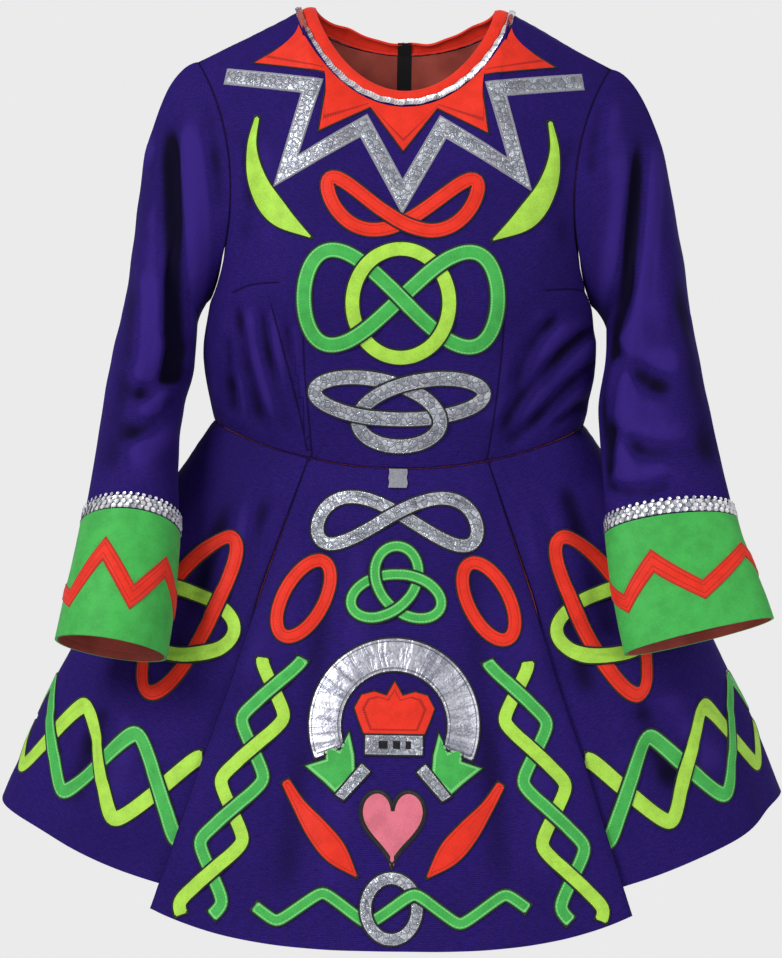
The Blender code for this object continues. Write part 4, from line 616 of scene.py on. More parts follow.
def softened(grid, rows, columns, at, reach, passes=70):
    """The grid with the fold across it at one row eased, except along its sides."""
    weight = np.exp(-((rows - at) / reach) ** 2)[1:-1, None] * (1 - np.abs(columns)[None] ** 8) * 0.4
    for _ in range(passes):
        grid[1:-1] += weight[..., None] * (0.5 * (grid[2:] + grid[:-2]) - grid[1:-1])
    return grid


def grid_of(rows, columns, point):
    return np.array([[point(r, c) for c in columns] for r in rows])


def normals(grid, wrap=False):
    """Unit normals of a grid of points, from its neighbours."""
    if wrap:
        grid = np.concatenate((grid[:, -1:], grid, grid[:, :1]), axis=1)
    n = unit(np.cross(np.gradient(grid, axis=1), np.gradient(grid, axis=0)))
    return n[:, 1:-1] if wrap else n


def runs(grid, axis):
    """How far each point is along its row (axis 1) or up its column (axis 0)."""
    steps = np.linalg.norm(np.diff(grid, axis=axis), axis=2)
    first = np.zeros_like(np.take(steps, [0], axis=axis))
    return np.cumsum(np.concatenate((first, steps), axis=axis), axis=axis)


def run_along(line):
    """How far each point of a line is along it."""
    return np.concatenate(((0,), np.cumsum(np.linalg.norm(np.diff(line, axis=0), axis=1))))


def quads(rows, columns, closed):
    """The faces between the points of a grid, row by row."""
    ring = np.arange(columns) if closed else np.arange(columns - 1)
    r, c = (k.ravel() for k in np.meshgrid(np.arange(rows - 1), ring, indexing="ij"))
    d = (c + 1) % columns
    return np.stack((r * columns + c, r * columns + d, (r + 1) * columns + d, (r + 1) * columns + c), axis=1)


def curve_through(corners, count=40):
    """Even places on a smooth line through seen places."""
    corners = np.array(corners)
    at = np.linspace(0, len(corners) - 1, count)
    return np.array([through(range(len(corners)), corners, k) for k in at])


def line_distance(places, line):
    """For each place: its signed distance to a line, and how far along the line its nearest point is, as a share."""
    best = np.full(places.shape[:-1], np.inf)
    signed, share = np.zeros_like(best), np.zeros_like(best)
    for k, (a, b) in enumerate(zip(line, line[1:])):
        run = b - a
        length = math.hypot(*run)
        away = places - a
        along = np.clip(away @ run / length ** 2, 0, 1)
        gap = np.linalg.norm(away - along[..., None] * run, axis=-1)
        nearer = gap < best
        best = np.where(nearer, gap, best)
        side = np.sign(run[0] * away[..., 1] - run[1] * away[..., 0])
        signed = np.where(nearer, gap * side, signed)
        share = np.where(nearer, (k + along) / (len(line) - 1), share)
    return signed, share


def creased(grid, lift, creases, back):
    """How deep the creases are: soft troughs that fade at both ends, each with a low uneven ridge beside it."""
    places = seen(grid)
    facing = smooth((lift[..., 1] if back else -lift[..., 1]) / 0.35)
    sink = np.zeros(grid.shape[:2])
    for n, crease in enumerate(creases):
        gap, share = line_distance(places, curve_through(crease.line))
        wander = 1 + 0.22 * np.sin(share * 9 + 2.1 * n) + 0.12 * np.sin(share * 23 + n)
        fade = smooth(share / 0.18) * smooth((1 - share) / 0.22) * (np.abs(gap) < crease.width * 8)
        width = crease.width * (0.75 + 0.5 * share)
        trough = np.exp(-(gap / width) ** 2)
        ridge = 0.42 * np.exp(-((gap - 2.0 * width) / (1.3 * width)) ** 2)
        ridge += 0.25 * np.exp(-((gap + 2.2 * width) / (1.5 * width)) ** 2)
        sink += crease.depth * wander * fade * (trough - ridge) * facing
    return sink


def uneven(grid, lift, amount):
    """The grid with the slow unevenness of hanging cloth."""
    x, y, z = (grid[..., k] for k in range(3))
    sway = (np.sin(31 * x + 17 * z + 1.3) * np.sin(23 * z - 11 * x) + 0.6 * np.sin(67 * x - 41 * z + 29 * y)
            + 0.35 * np.sin(131 * z + 83 * x + 47 * y) * np.sin(71 * x - 0.4))
    return grid + lift * (amount * sway)[..., None]


class Sheet:
    """A cloth piece on a fine grid, with its seams sunk, its creases and its distances to the nearest seam."""

    def __init__(self, grid, thick, front=(), back=(), seams=(), wrap=False, darts=(), sway=0.0004,
                 seam_sink=0.0008):
        lift = normals(grid, wrap)
        grid = uneven(grid, lift, sway) if sway else grid
        across, up = runs(grid, 1), runs(grid, 0)
        gaps = {"left": across, "right": across[:, -1:] - across, "bottom": up, "top": up[-1:] - up}
        self.seam = np.full(grid.shape[:2], 1.0)
        beside = np.minimum(gaps["left"], gaps["right"]) < np.minimum(up, gaps["top"])
        self.along = across if wrap else np.where(beside, up, across)
        for edge in seams:
            self.seam = np.minimum(self.seam, gaps[edge])
        free = 0.25 + 0.75 * smooth(self.seam / 0.02)
        self.fold = (creased(grid, lift, front, False) + creased(grid, lift, back, True)) * free
        grid = grid - lift * self.fold[..., None]
        pucker = 1 + 0.45 * np.sin(self.along * 2 * math.pi / 0.0115 + 1.7 * np.sin(self.along * 60))
        sink = seam_sink * np.exp(-(self.seam / 0.0028) ** 2) + 0.0004 * pucker * np.exp(-((self.seam - 0.005)
                                                                                           / 0.004) ** 2)
        places = seen(grid)
        for line in darts:
            gap, share = line_distance(places, curve_through(line))
            fade = smooth((1 - share) / 0.10)
            sink += 0.0010 * fade * np.exp(-(gap / 0.0022) ** 2)
            inside = (share > 0.005) & (share < 0.995) & (np.abs(gap) < np.abs(self.seam))
            self.seam = np.where(inside, gap / np.maximum(fade, 0.25), self.seam)
        self.grid = grid - lift * sink[..., None]
        self.thick, self.wrap, self.across, self.up = thick, wrap, across, up
        self.normals = normals(self.grid, wrap)

    def shell(self, name, materials):
        """The sheet as a thin closed shell: the outer face has the first material and the inner face the second."""
        rows, columns = self.grid.shape[:2]
        count = rows * columns
        inner = self.grid - self.normals * self.thick
        points = np.concatenate((self.grid.reshape(-1, 3), inner.reshape(-1, 3)))
        ring = np.arange(columns) if self.wrap else np.arange(columns - 1)
        outer = quads(rows, columns, self.wrap)
        last = (rows - 1) * columns
        e = (ring + 1) % columns
        rims = [np.stack((ring + count, e + count, e, ring), axis=1),
                np.stack((last + ring, last + e, last + e + count, last + ring + count), axis=1)]
        if not self.wrap:
            r = np.arange(rows - 1) * columns
            rims.append(np.stack((r, r + columns, r + columns + count, r + count), axis=1))
            rims.append(np.stack((r + columns - 1, r + columns - 1 + count, r + 2 * columns - 1 + count,
                                  r + 2 * columns - 1),
                                 axis=1))
        rims = np.concatenate(rims)
        faces = np.concatenate((outer, outer[:, ::-1] + count, rims))
        slots = np.concatenate((np.zeros(len(outer), int), np.ones(len(outer), int), np.zeros(len(rims), int)))
        places = faces % count
        along, across = (self.corner_values(values, places) for values in (self.along, self.across))
        # The lay map holds the distance to the nearest seam and the fold map the crease depth: the wool paints shade
        # and light from them, and the lining paints shade near seams
        maps = {"lay": np.stack((self.seam.ravel()[places], along), axis=-1),
                "fold": np.repeat(self.fold.ravel()[places][..., None], 2, axis=-1),
                "weave": np.stack((across, self.up.ravel()[places]), axis=-1)}
        return piece(name, points, faces, materials, slots, maps)

    def corner_values(self, values, places):
        """A value at each corner of each face. On a closed sheet the last column's faces read on past its end."""
        read = values.ravel()[places]
        if self.wrap:
            column, row = places % values.shape[1], places // values.shape[1]
            closing = (column == 0) & (column == values.shape[1] - 1).any(axis=1, keepdims=True)
            read = np.where(closing, (2 * values[:, -1] - values[:, -2])[row], read)
        return read


def piece(name, points, faces, materials, slots=None, maps=None, sharp=40):
    """A named mesh. maps gives each named map's place for every point, or for every corner of every face."""
    mesh = bpy.data.meshes.new(name)
    faces = np.asarray(faces)
    corners = faces.shape[1]
    mesh.vertices.add(len(points))
    mesh.vertices.foreach_set("co", np.asarray(points, np.float32).ravel())
    mesh.loops.add(faces.size)
    mesh.loops.foreach_set("vertex_index", faces.ravel().astype(np.int32))
    mesh.polygons.add(len(faces))
    mesh.polygons.foreach_set("loop_start", np.arange(0, faces.size, corners, dtype=np.int32))
    for made in materials:
        mesh.materials.append(made)
    if slots is not None:
        mesh.polygons.foreach_set("material_index", np.asarray(slots, np.int32))
    for map_name, places in (maps or {}).items():
        layer = mesh.uv_layers.new(name=map_name)
        places = np.asarray(places, np.float32)
        layer.uv.foreach_set("vector", (places if places.ndim == 3 else places[faces]).ravel())
    mesh.update(calc_edges=True)
    mesh.validate()
    mesh.shade_smooth()
    mesh.set_sharp_from_angle(angle=math.radians(sharp))
    made = bpy.data.objects.new(name, mesh)
    bpy.context.scene.collection.objects.link(made)
    return made


def dress(made, slot, *nodes):
    """A piece rides on the dress and stands for its nodes, which are hidden. The slot is not used."""
    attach(made, "dress")
    if nodes:
        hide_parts(*nodes)
    return made


# Places on a sheet


class Face:
    """Finds places of a plan, such as a front view, on a sheet."""

    def __init__(self, sheet, plan):
        self.sheet, self.plan, self.pieces = sheet, plan, []
        self.tree = kdtree.KDTree(plan.shape[0] * plan.shape[1])
        for k, (x, z) in enumerate(plan.reshape(-1, 2)):
            self.tree.insert((x, z, 0), k)
        self.tree.balance()

    def read(self, values, row, column):
        last_row, last_column = self.plan.shape[0] - 2, self.plan.shape[1] - 2
        r = np.clip(np.floor(row), 0, last_row).astype(int)
        c = np.clip(np.floor(column), 0, last_column).astype(int)
        a, b = (row - r)[:, None], (column - c)[:, None]
        corners = values[r, c], values[r, c + 1], values[r + 1, c], values[r + 1, c + 1]
        down = (corners[2] - corners[0]) * (1 - b) + (corners[3] - corners[1]) * b
        across = (corners[1] - corners[0]) * (1 - a) + (corners[3] - corners[2]) * a
        here = corners[0] * (1 - a) * (1 - b) + corners[1] * (1 - a) * b
        return here + corners[2] * a * (1 - b) + corners[3] * a * b, down, across

    def spots(self, places):
        """The points and normals of the sheet at places of the plan."""
        near = np.array([self.tree.find((x, z, 0))[1] for x, z in places])
        row, column = (k.astype(float) for k in divmod(near, self.plan.shape[1]))
        for _ in range(8):
            here, down, across = self.read(self.plan, row, column)
            turn = down[:, 0] * across[:, 1] - down[:, 1] * across[:, 0]
            turn = np.where(np.abs(turn) < 1e-12, 1e-12, turn)
            miss = places - here
            row += np.clip((miss[:, 0] * across[:, 1] - miss[:, 1] * across[:, 0]) / turn, -1, 1)
            column += np.clip((down[:, 0] * miss[:, 1] - down[:, 1] * miss[:, 0]) / turn, -1, 1)
        return self.read(self.sheet.grid, row, column)[0], unit(self.read(self.sheet.normals, row, column)[0])


# Appliques


def profile(inset):
    """Height off the panel at a distance in from the cut edge."""
    return np.interp(inset, [p[0] for p in PROFILE], [p[1] for p in PROFILE])


def lay_rows(name, rows, insets, rises, face, materials, along, closed=False):
    """An applique from rows of plan places. insets are distances in from the edge, rises are heights at crossings."""
    rows = np.asarray(rows)
    base, lift = face.spots(rows.reshape(-1, 2))
    insets = np.broadcast_to(insets, rows.shape[:2])
    edge = smooth((insets - PROFILE[0][0]) / (PROFILE[1][0] - PROFILE[0][0]))
    height = profile(insets) + np.broadcast_to(rises, rows.shape[:2]) * edge
    points = base + lift * height.reshape(-1, 1)
    faces = quads(*rows.shape[:2], closed)
    flat = insets.ravel()
    satin = np.mean(flat[faces], axis=1) < SATIN_EDGE
    along = np.broadcast_to(along, rows.shape[:2]).ravel()
    first = points[faces[0]]
    if np.dot(np.cross(first[1] - first[0], first[2] - first[0]), lift[faces[0][0]]) < 0:
        faces = faces[:, ::-1]
    made = piece(name, points, faces, materials, satin.astype(int), {"lay": np.stack((flat, along), axis=1)},
                 sharp=70)
    face.pieces.append(made)
    return made


class Strap:
    """A strap of applique: its centreline in the plan, widths, and heights where it passes over others."""

    def __init__(self, name, slot, line, widths, closed=False):
        self.name, self.slot, self.line, self.closed = name, slot, np.asarray(line), closed
        self.widths = np.broadcast_to(np.asarray(widths, float), len(self.line))
        ahead = np.roll(self.line, -1, axis=0) - self.line
        behind = np.roll(ahead, 1, axis=0)
        if not closed:
            ahead[-1], behind[0] = ahead[-2], ahead[0]
        self.steps = ahead
        along = unit(unit(ahead) + unit(behind))
        self.sides = np.column_stack((-along[:, 1], along[:, 0]))
        self.places = np.concatenate(((0,), np.cumsum(np.linalg.norm(ahead, axis=1))))[:len(self.line)]
        self.length = self.places[-1] + (np.linalg.norm(ahead[-1]) if closed else 0)
        self.rises = np.zeros(len(self.line))

    def lay(self, face, materials):
        insets = np.array([p[0] for p in PROFILE])
        half = self.widths / 2
        shares = [np.maximum(half - inset, 0) for inset in insets]
        offsets = [-s for s in shares] + [0 * half] + shares[::-1]
        depths = np.array([np.minimum(inset, half) for inset in insets] + [half]
                          + [np.minimum(inset, half) for inset in insets[::-1]])
        line, sides, places, rises = self.line, self.sides, self.places, self.rises
        offsets = np.array(offsets)
        if not self.closed:
            line, sides, places, rises, offsets, depths = self.capped(offsets, depths)
        rows = line + sides * offsets[..., None]
        return lay_rows(self.name + "_cloth", rows, depths, rises, face, materials, places, self.closed)

    def capped(self, offsets, depths):
        """The strap with its ends sewn round: extra columns that follow the profile of the edge."""
        ends = np.array([p[0] for p in PROFILE[:6]])
        run = self.places
        keep = (run > ends[-1] * 1.5) & (run < run[-1] - ends[-1] * 1.5)
        at = np.concatenate((ends, run[keep], run[-1] - ends[::-1]))
        gap = np.minimum(at, run[-1] - at)
        inside = np.clip(at, 0, run[-1])
        line = np.column_stack([np.interp(inside, run, self.line[:, k]) for k in (0, 1)])
        line += unit(self.steps[0]) * np.minimum(at, 0)[:, None]
        line += unit(self.steps[-1]) * np.maximum(at - run[-1], 0)[:, None]
        sides = unit(np.column_stack([np.interp(inside, run, self.sides[:, k]) for k in (0, 1)]))
        take = lambda rows: np.array([np.interp(inside, run, row) for row in rows])
        return line, sides, at, take([self.rises])[0], take(offsets), np.minimum(take(depths), gap)


def evenly(line, closed, step=APPLIQUE_STEP):
    """A line's points again, at even steps."""
    line = np.concatenate((line, line[:1])) if closed else np.asarray(line)
    run = run_along(line)
    count = max(int(round(run[-1] / step)), 4)
    at = run[-1] * np.arange(count + (not closed)) / count
    return np.column_stack([np.interp(at, run, line[:, k]) for k in (0, 1)])


def knot_line(knot):
    """A closed strap's centreline: its waves fitted to its box, leant and set in place."""
    turns = np.linspace(0, 2 * math.pi, 1440, endpoint=False)
    x = sum(h.wide * np.sin(h.n * turns + math.radians(h.x_turn)) for h in KNOTS[knot.kind])
    z = sum(h.high * np.cos(h.n * turns + math.radians(h.z_turn)) for h in KNOTS[knot.kind])
    x = (x - (x.max() + x.min()) / 2) * 2 / (x.max() - x.min()) * knot.wide
    z = (z - (z.max() + z.min()) / 2) * 2 / (z.max() - z.min()) * knot.high
    c, s = math.cos(math.radians(knot.lean)), math.sin(math.radians(knot.lean))
    return evenly(np.column_stack((knot.x + c * x - s * z, knot.z + s * x + c * z)), True)


def crossings(straps):
    """Where straps cross in plan: for each, both straps, both places along them, and half the overlap's length."""
    found = []
    for i, a in enumerate(straps):
        for j in range(i, len(straps)):
            b = straps[j]
            ends = [len(s.line) if s.closed else len(s.line) - 1 for s in (a, b)]
            p, q = a.line[:ends[0], None], b.line[None, :ends[1]]
            d, e = a.steps[:ends[0], None], b.steps[None, :ends[1]]
            turn = d[..., 0] * e[..., 1] - d[..., 1] * e[..., 0]
            turn = np.where(np.abs(turn) < 1e-14, 1e-14, turn)
            w = q - p
            f = (w[..., 0] * e[..., 1] - w[..., 1] * e[..., 0]) / turn
            g = (w[..., 0] * d[..., 1] - w[..., 1] * d[..., 0]) / turn
            for m, n in zip(*np.nonzero((f >= 0) & (f < 1) & (g >= 0) & (g < 1))):
                if i == j and (n <= m + 1 or (m == 0 and n == ends[0] - 1)):
                    continue
                one, two = unit(a.steps[m]), unit(b.steps[n])
                sine = max(abs(float(one[0] * two[1] - one[1] * two[0])), 0.2)
                reach = (b.widths[n] + a.widths[m] * abs(float(one @ two))) / (2 * sine)
                step = np.linalg.norm(a.steps[m]), np.linalg.norm(b.steps[n])
                found.append(((i, a.places[m] + f[m, n] * step[0]), (j, b.places[n] + g[m, n] * step[1]),
                              reach))
    return found


def weave(straps):
    """Raises each strap over every second crossing along it."""
    found = crossings(straps)
    over = {}
    for i, strap in enumerate(straps):
        passes = sorted((place[1], k, which) for k, crossing in enumerate(found)
                        for which, place in enumerate(crossing[:2]) if place[0] == i)
        parities = [(n + over[k, which]) % 2 for n, (_, k, which) in enumerate(passes) if (k, which) in over]
        start = round(sum(parities) / len(parities)) if parities else 0
        for n, (_, k, which) in enumerate(passes):
            if (k, which) not in over:
                over[k, which] = (n + start) % 2
                over[k, 1 - which] = 1 - over[k, which]
    for (k, which), up in over.items():
        if up:
            (i, place), reach = found[k][which], found[k][2] + CROSS_MARGIN
            strap = straps[i]
            gap = np.abs(strap.places - place)
            gap = np.minimum(gap, strap.length - gap) if strap.closed else gap
            strap.rises = np.maximum(strap.rises, CROSS_RISE * smooth((reach + CROSS_FALL - gap) / CROSS_FALL))


def mirrored(points):
    return [(-x, z) for x, z in points]


def offset_corners(corners, inset, closed):
    """Corners moved in by a distance, with mitres. The inside is on the left of the line's way."""
    corners = np.asarray(corners, float)
    ahead = unit(np.roll(corners, -1, axis=0) - corners)
    behind = np.roll(ahead, 1, axis=0)
    if not closed:
        ahead[-1], behind[0] = ahead[-2], ahead[0]
    along = unit(ahead + behind)
    stretch = 1 / np.clip(np.sum(along * ahead, axis=1), 0.42, 1)
    return corners + np.column_stack((-along[:, 1], along[:, 0])) * (stretch * inset)[:, None]


def between(corners, counts):
    """A line through corners, with a count of steps on each side."""
    line = [corners[k] + (corners[k + 1] - corners[k]) * n / count
            for k, count in enumerate(counts) for n in range(count)]
    return np.array(line + [corners[len(counts)]])


def side_counts(corners, step=APPLIQUE_STEP):
    return [max(int(round(math.dist(a, b) / step)), 1) for a, b in zip(corners, corners[1:])]


def strap_levels(width):
    """The rows across a straight strap: each one's place off the middle and its distance in from the edge."""
    half = width / 2
    insets = [p[0] for p in PROFILE if p[0] < half]
    return [(-(half - e), e) for e in insets] + [(0.0, half)] + [(half - e, e) for e in insets[::-1]]


def ribbon(name, corners, width, face, materials):
    """A strap with straight sides and mitred corners."""
    corners = np.asarray(corners, float)
    counts = side_counts(corners)
    levels = strap_levels(width)
    rows = [between(offset_corners(corners, offset, False), counts) for offset, _ in levels]
    depths = np.array([[e] * len(rows[0]) for _, e in levels])
    run = run_along(rows[len(rows) // 2])
    depths = np.minimum(depths, np.minimum(run, run[-1] - run) + PROFILE[0][0])
    return lay_rows(name, rows, depths, 0.0, face, materials, run)


def patch(name, outline, middle, face, materials, satin=1.0, rise=0.0):
    """A filled outline. Its rows follow the cut edge, then shrink to the middle."""
    outline = np.asarray(outline, float)
    x, z = outline[:, 0], outline[:, 1]
    if np.sum(x * np.roll(z, -1) - np.roll(x, -1) * z) < 0:
        outline = outline[::-1]
    loop = np.concatenate((outline, outline[:1]))
    counts = side_counts(loop)

    def row(inset):
        moved = offset_corners(outline, inset, True)
        return between(np.concatenate((moved, moved[:1])), counts)[:-1]

    insets = [p[0] * satin if p[0] < SATIN_EDGE else p[0] for p in PROFILE[:6]]
    rows = [row(e) for e in insets]
    depths = [p[0] for p in PROFILE[:6]]
    edge = rows[-1]
    for share in (0.85, 0.65, 0.45, 0.25, 0.0):
        rows.append(np.array(middle) + (edge - np.array(middle)) * share)
        depths.append(PROFILE[5][0] + (1 - share) * 0.006)
    run = np.arange(len(edge)) * APPLIQUE_STEP
    return lay_rows(name, rows, np.array(depths)[:, None], rise, face, materials, run, closed=True)


# Materials


class Look:
    """One material's nodes, built on its Principled shader."""

    def __init__(self, name, **sockets):
        self.material = bpy.data.materials.new(name)
        self.material.use_nodes = True
        self.nodes, self.links = self.material.node_tree.nodes, self.material.node_tree.links
        self.shader = self.nodes["Principled BSDF"]
        for socket, value in sockets.items():
            self.shader.inputs[socket.replace("_", " ")].default_value = value
        self.object_places = self.put("TexCoord").outputs["Object"]

    def put(self, kind, values=(), **settings):
        node = self.nodes.new("ShaderNode" + kind)
        for key, value in settings.items():
            setattr(node, key, value)
        for socket, value in dict(values).items():
            if isinstance(value, bpy.types.NodeSocket):
                self.links.new(value, node.inputs[socket])
            else:
                node.inputs[socket].default_value = value
        return node

    def maths(self, operation, a, b=0.0):
        return self.put("Math", {0: a, 1: b}, operation=operation).outputs[0]

    def span(self, value, low, high, to_low=0.0, to_high=1.0):
        """A value's share of the way from low to high, as a soft step."""
        node = self.put("MapRange", {"Value": value, "From Min": low, "From Max": high, "To Min": to_low,
                                     "To Max": to_high},
                        interpolation_type="SMOOTHSTEP")
        return node.outputs[0]

    def blend(self, share, a, b, way="MIX"):
        return self.put("Mix", {0: share, 6: a, 7: b}, data_type="RGBA", blend_type=way).outputs[2]

    def stretched(self, places, x, y, z=1.0):
        return self.put("Mapping", {"Vector": places, "Scale": (x, y, z)}).outputs[0]

    def noise(self, scale, detail=2.0, places=None, rough=0.5):
        node = self.put("TexNoise", {"Vector": places or self.object_places, "Scale": scale, "Detail": detail,
                                     "Roughness": rough})
        return node.outputs["Fac"]

    def map_places(self, name):
        return self.put("UVMap", uv_map=name).outputs[0]

    def split(self, places):
        return self.put("SeparateXYZ", {0: places}).outputs

    def waves(self, value, period):
        """A wave from 0 to 1 with a period in metres."""
        turn = self.maths("SINE", self.maths("MULTIPLY", value, 2 * math.pi / period))
        return self.maths("MULTIPLY", self.maths("ADD", turn, 1.0), 0.5)

    def finish(self, colour=None, height=None, depth=0.0002, strength=1.0, rough=None):
        if colour is not None:
            self.links.new(colour, self.shader.inputs["Base Color"])
        if rough is not None:
            self.links.new(rough, self.shader.inputs["Roughness"])
        if height is not None:
            bump = self.put("Bump", {"Height": height, "Distance": depth, "Strength": strength})
            self.links.new(bump.outputs[0], self.shader.inputs["Normal"])
        return self.material


def wool():
    """Purple wool gabardine: a fine diagonal weave with a soft nap; painted shade in thin lines where it is sewn and
    in the crease troughs, and painted light on the crease ridges.
    """
    look = Look("purple_wool_weave", Roughness=0.82, Sheen_Weight=0.05, Sheen_Roughness=0.4,
                Sheen_Tint=(0.30, 0.20, 0.95, 1), Specular_IOR_Level=0.10)
    across, up, _ = look.split(look.map_places("weave"))
    twill = look.waves(look.maths("ADD", across, look.maths("MULTIPLY", up, 0.8)), 0.0011)
    weft = look.waves(up, 0.0016)
    nap = look.noise(950, 3)
    slow = look.noise(9, 3, rough=0.6)
    streak = look.noise(1, 2, look.stretched(look.map_places("weave"), 140, 900))
    threads = look.maths("ADD", look.maths("MULTIPLY", twill, 0.35), look.maths("MULTIPLY", weft, 0.2))
    grain = look.maths("ADD", threads, look.maths("ADD", look.maths("MULTIPLY", nap, 0.7),
                                                  look.maths("MULTIPLY", streak, 0.5)))
    colour = look.blend(look.span(grain, 0.55, 1.25), WOOL_DARK, WOOL_LIGHT)
    colour = look.blend(look.span(slow, 0.35, 0.70, 0.0, 0.35), colour, WOOL_DARK)
    seam, _, _ = look.split(look.map_places("lay"))
    # Painted shade: the cloth turns near black in a thin line along each seam and dart, in its groove
    near = look.span(look.maths("ABSOLUTE", seam), 0.0004, 0.0014, 0.72, 0.0)
    fold, _, _ = look.split(look.map_places("fold"))
    # Painted shade in the crease troughs and painted light on the ridges beside them, read from the fold map
    colour = look.blend(look.span(fold, 0.0002, 0.0046, 0.0, 0.95), colour, WOOL_PAINTED_SHADE)
    colour = look.blend(look.span(fold, -0.0022, -0.0002, 0.55, 0.0), colour, WOOL_PAINTED_RIDGE_LIGHT)
    colour = look.blend(near, colour, (0.003, 0.0012, 0.014, 1))
    height = look.maths("SUBTRACT", grain, look.maths("MULTIPLY", near, 1.2))
    return look.finish(colour, height, 0.00016, 0.55)


def crepe(name, colour, line_colour=None, line_at=0.0024, line_half=0.00035, roughness=0.62):
    """Crepe of an applique: a fine grain, soft puckers along its edges, and where it has one its inner stitch line."""
    look = Look(name, Roughness=roughness, Sheen_Weight=0.12, Sheen_Roughness=0.5, Specular_IOR_Level=0.28)
    inset, along, _ = look.split(look.map_places("lay"))
    dark = tuple(c * 0.80 for c in colour) + (1,)
    light = tuple(min(c * 1.06 + 0.004, 1) for c in colour) + (1,)
    grain = look.noise(1400, 2)
    cloud = look.noise(70, 3, rough=0.6)
    mixed = look.blend(look.span(look.maths("ADD", look.maths("MULTIPLY", grain, 0.5),
                                            look.maths("MULTIPLY", cloud, 0.5)),
                                 0.36, 0.62), dark, light)
    pucker = look.maths("MULTIPLY", look.waves(look.maths("ADD", along, look.maths("MULTIPLY", cloud, 0.012)),
                                               0.0041),
                        look.span(inset, 0.0012, 0.0046, 1.0, 0.0))
    height = look.maths("ADD", look.maths("MULTIPLY", grain, 0.35), look.maths("MULTIPLY", pucker, 0.5))
    height = look.maths("ADD", height, look.maths("MULTIPLY", cloud, 1.1))
    if line_colour:
        gap = look.maths("ABSOLUTE", look.maths("SUBTRACT", inset, line_at))
        line = look.span(gap, line_half * 0.5, line_half * 1.6, 1.0, 0.0)
        dashes = look.span(look.waves(along, 0.0026), 0.05, 0.30, 0.35, 1.0)
        line = look.maths("MULTIPLY", line, dashes)
        mixed = look.blend(line, mixed, (*line_colour, 1))
        height = look.maths("SUBTRACT", height, line)
    return look.finish(mixed, height, 0.00022, 0.6)


def satin(name, colour, light):
    """Close satin stitch: threads across the edge, with a painted highlight on each thread's crest."""
    look = Look(name, Roughness=0.42, Sheen_Weight=0.1, Specular_IOR_Level=0.35)
    inset, along, _ = look.split(look.map_places("lay"))
    threads = look.waves(look.maths("ADD", along, look.maths("MULTIPLY", look.noise(500, 1), 0.0006)), 0.0006)
    # Painted highlight: the lighter colour lies where the thread bump is highest
    mixed = look.blend(threads, (*colour, 1), (*light, 1))
    return look.finish(mixed, threads, 0.00018, 0.8)


def crackle():
    """Silver foil cloth: flat cells of uneven size with pale edges, each with its own tint and its own tilt."""
    look = Look("silver_crackle", Metallic=0.55, Specular_IOR_Level=0.5)
    bent = look.put("VectorMath", {0: look.object_places, 1: look.put("VectorMath", {
        0: look.put("TexNoise", {"Vector": look.object_places, "Scale": 160.0}).outputs["Color"], 3: 0.004},
        operation="SCALE").outputs[0]}, operation="ADD").outputs[0]
    flat = look.stretched(bent, 1, 0.25, 1)
    cells = look.put("TexVoronoi", {"Vector": flat, "Scale": 215.0, "Randomness": 0.85})
    edges = look.put("TexVoronoi", {"Vector": flat, "Scale": 215.0, "Randomness": 0.85},
                     feature="DISTANCE_TO_EDGE")
    own = look.split(cells.outputs["Color"])
    tone = look.blend(look.span(own[0], 0.1, 0.95), (0.27, 0.29, 0.34, 1), (0.66, 0.70, 0.76, 1))
    tint = look.blend(own[1], (0.62, 0.72, 0.86, 1), (0.84, 0.72, 0.84, 1))
    tone = look.blend(0.22, tone, tint)
    tone = look.blend(look.span(look.noise(34, 2), 0.42, 0.60, 0.0, 0.45), tone, (0.21, 0.22, 0.26, 1))
    groove = look.span(edges.outputs["Distance"], 0.03, 0.16, 1.0, 0.0)
    fine = look.put("TexVoronoi", {"Vector": look.object_places, "Scale": 900.0})
    tone = look.blend(look.maths("MULTIPLY", groove, 0.55), tone, (0.16, 0.17, 0.20, 1))
    tone = look.blend(look.span(fine.outputs["Distance"], 0.05, 0.5, 0.25, 0.0), tone, (0.85, 0.88, 0.95, 1))
    inset, _, _ = look.split(look.map_places("lay"))
    tone = look.blend(look.span(inset, 0.0010, 0.0022, 0.55, 0.0), tone, (0.66, 0.68, 0.74, 1))
    height = look.maths("ADD", look.maths("SUBTRACT", look.maths("MULTIPLY", own[2], 0.8), groove),
                        look.maths("MULTIPLY", fine.outputs["Distance"], 0.6))
    rough = look.span(own[1], 0.0, 1.0, 0.24, 0.44)
    return look.finish(tone, height, 0.0005, 0.8, rough)


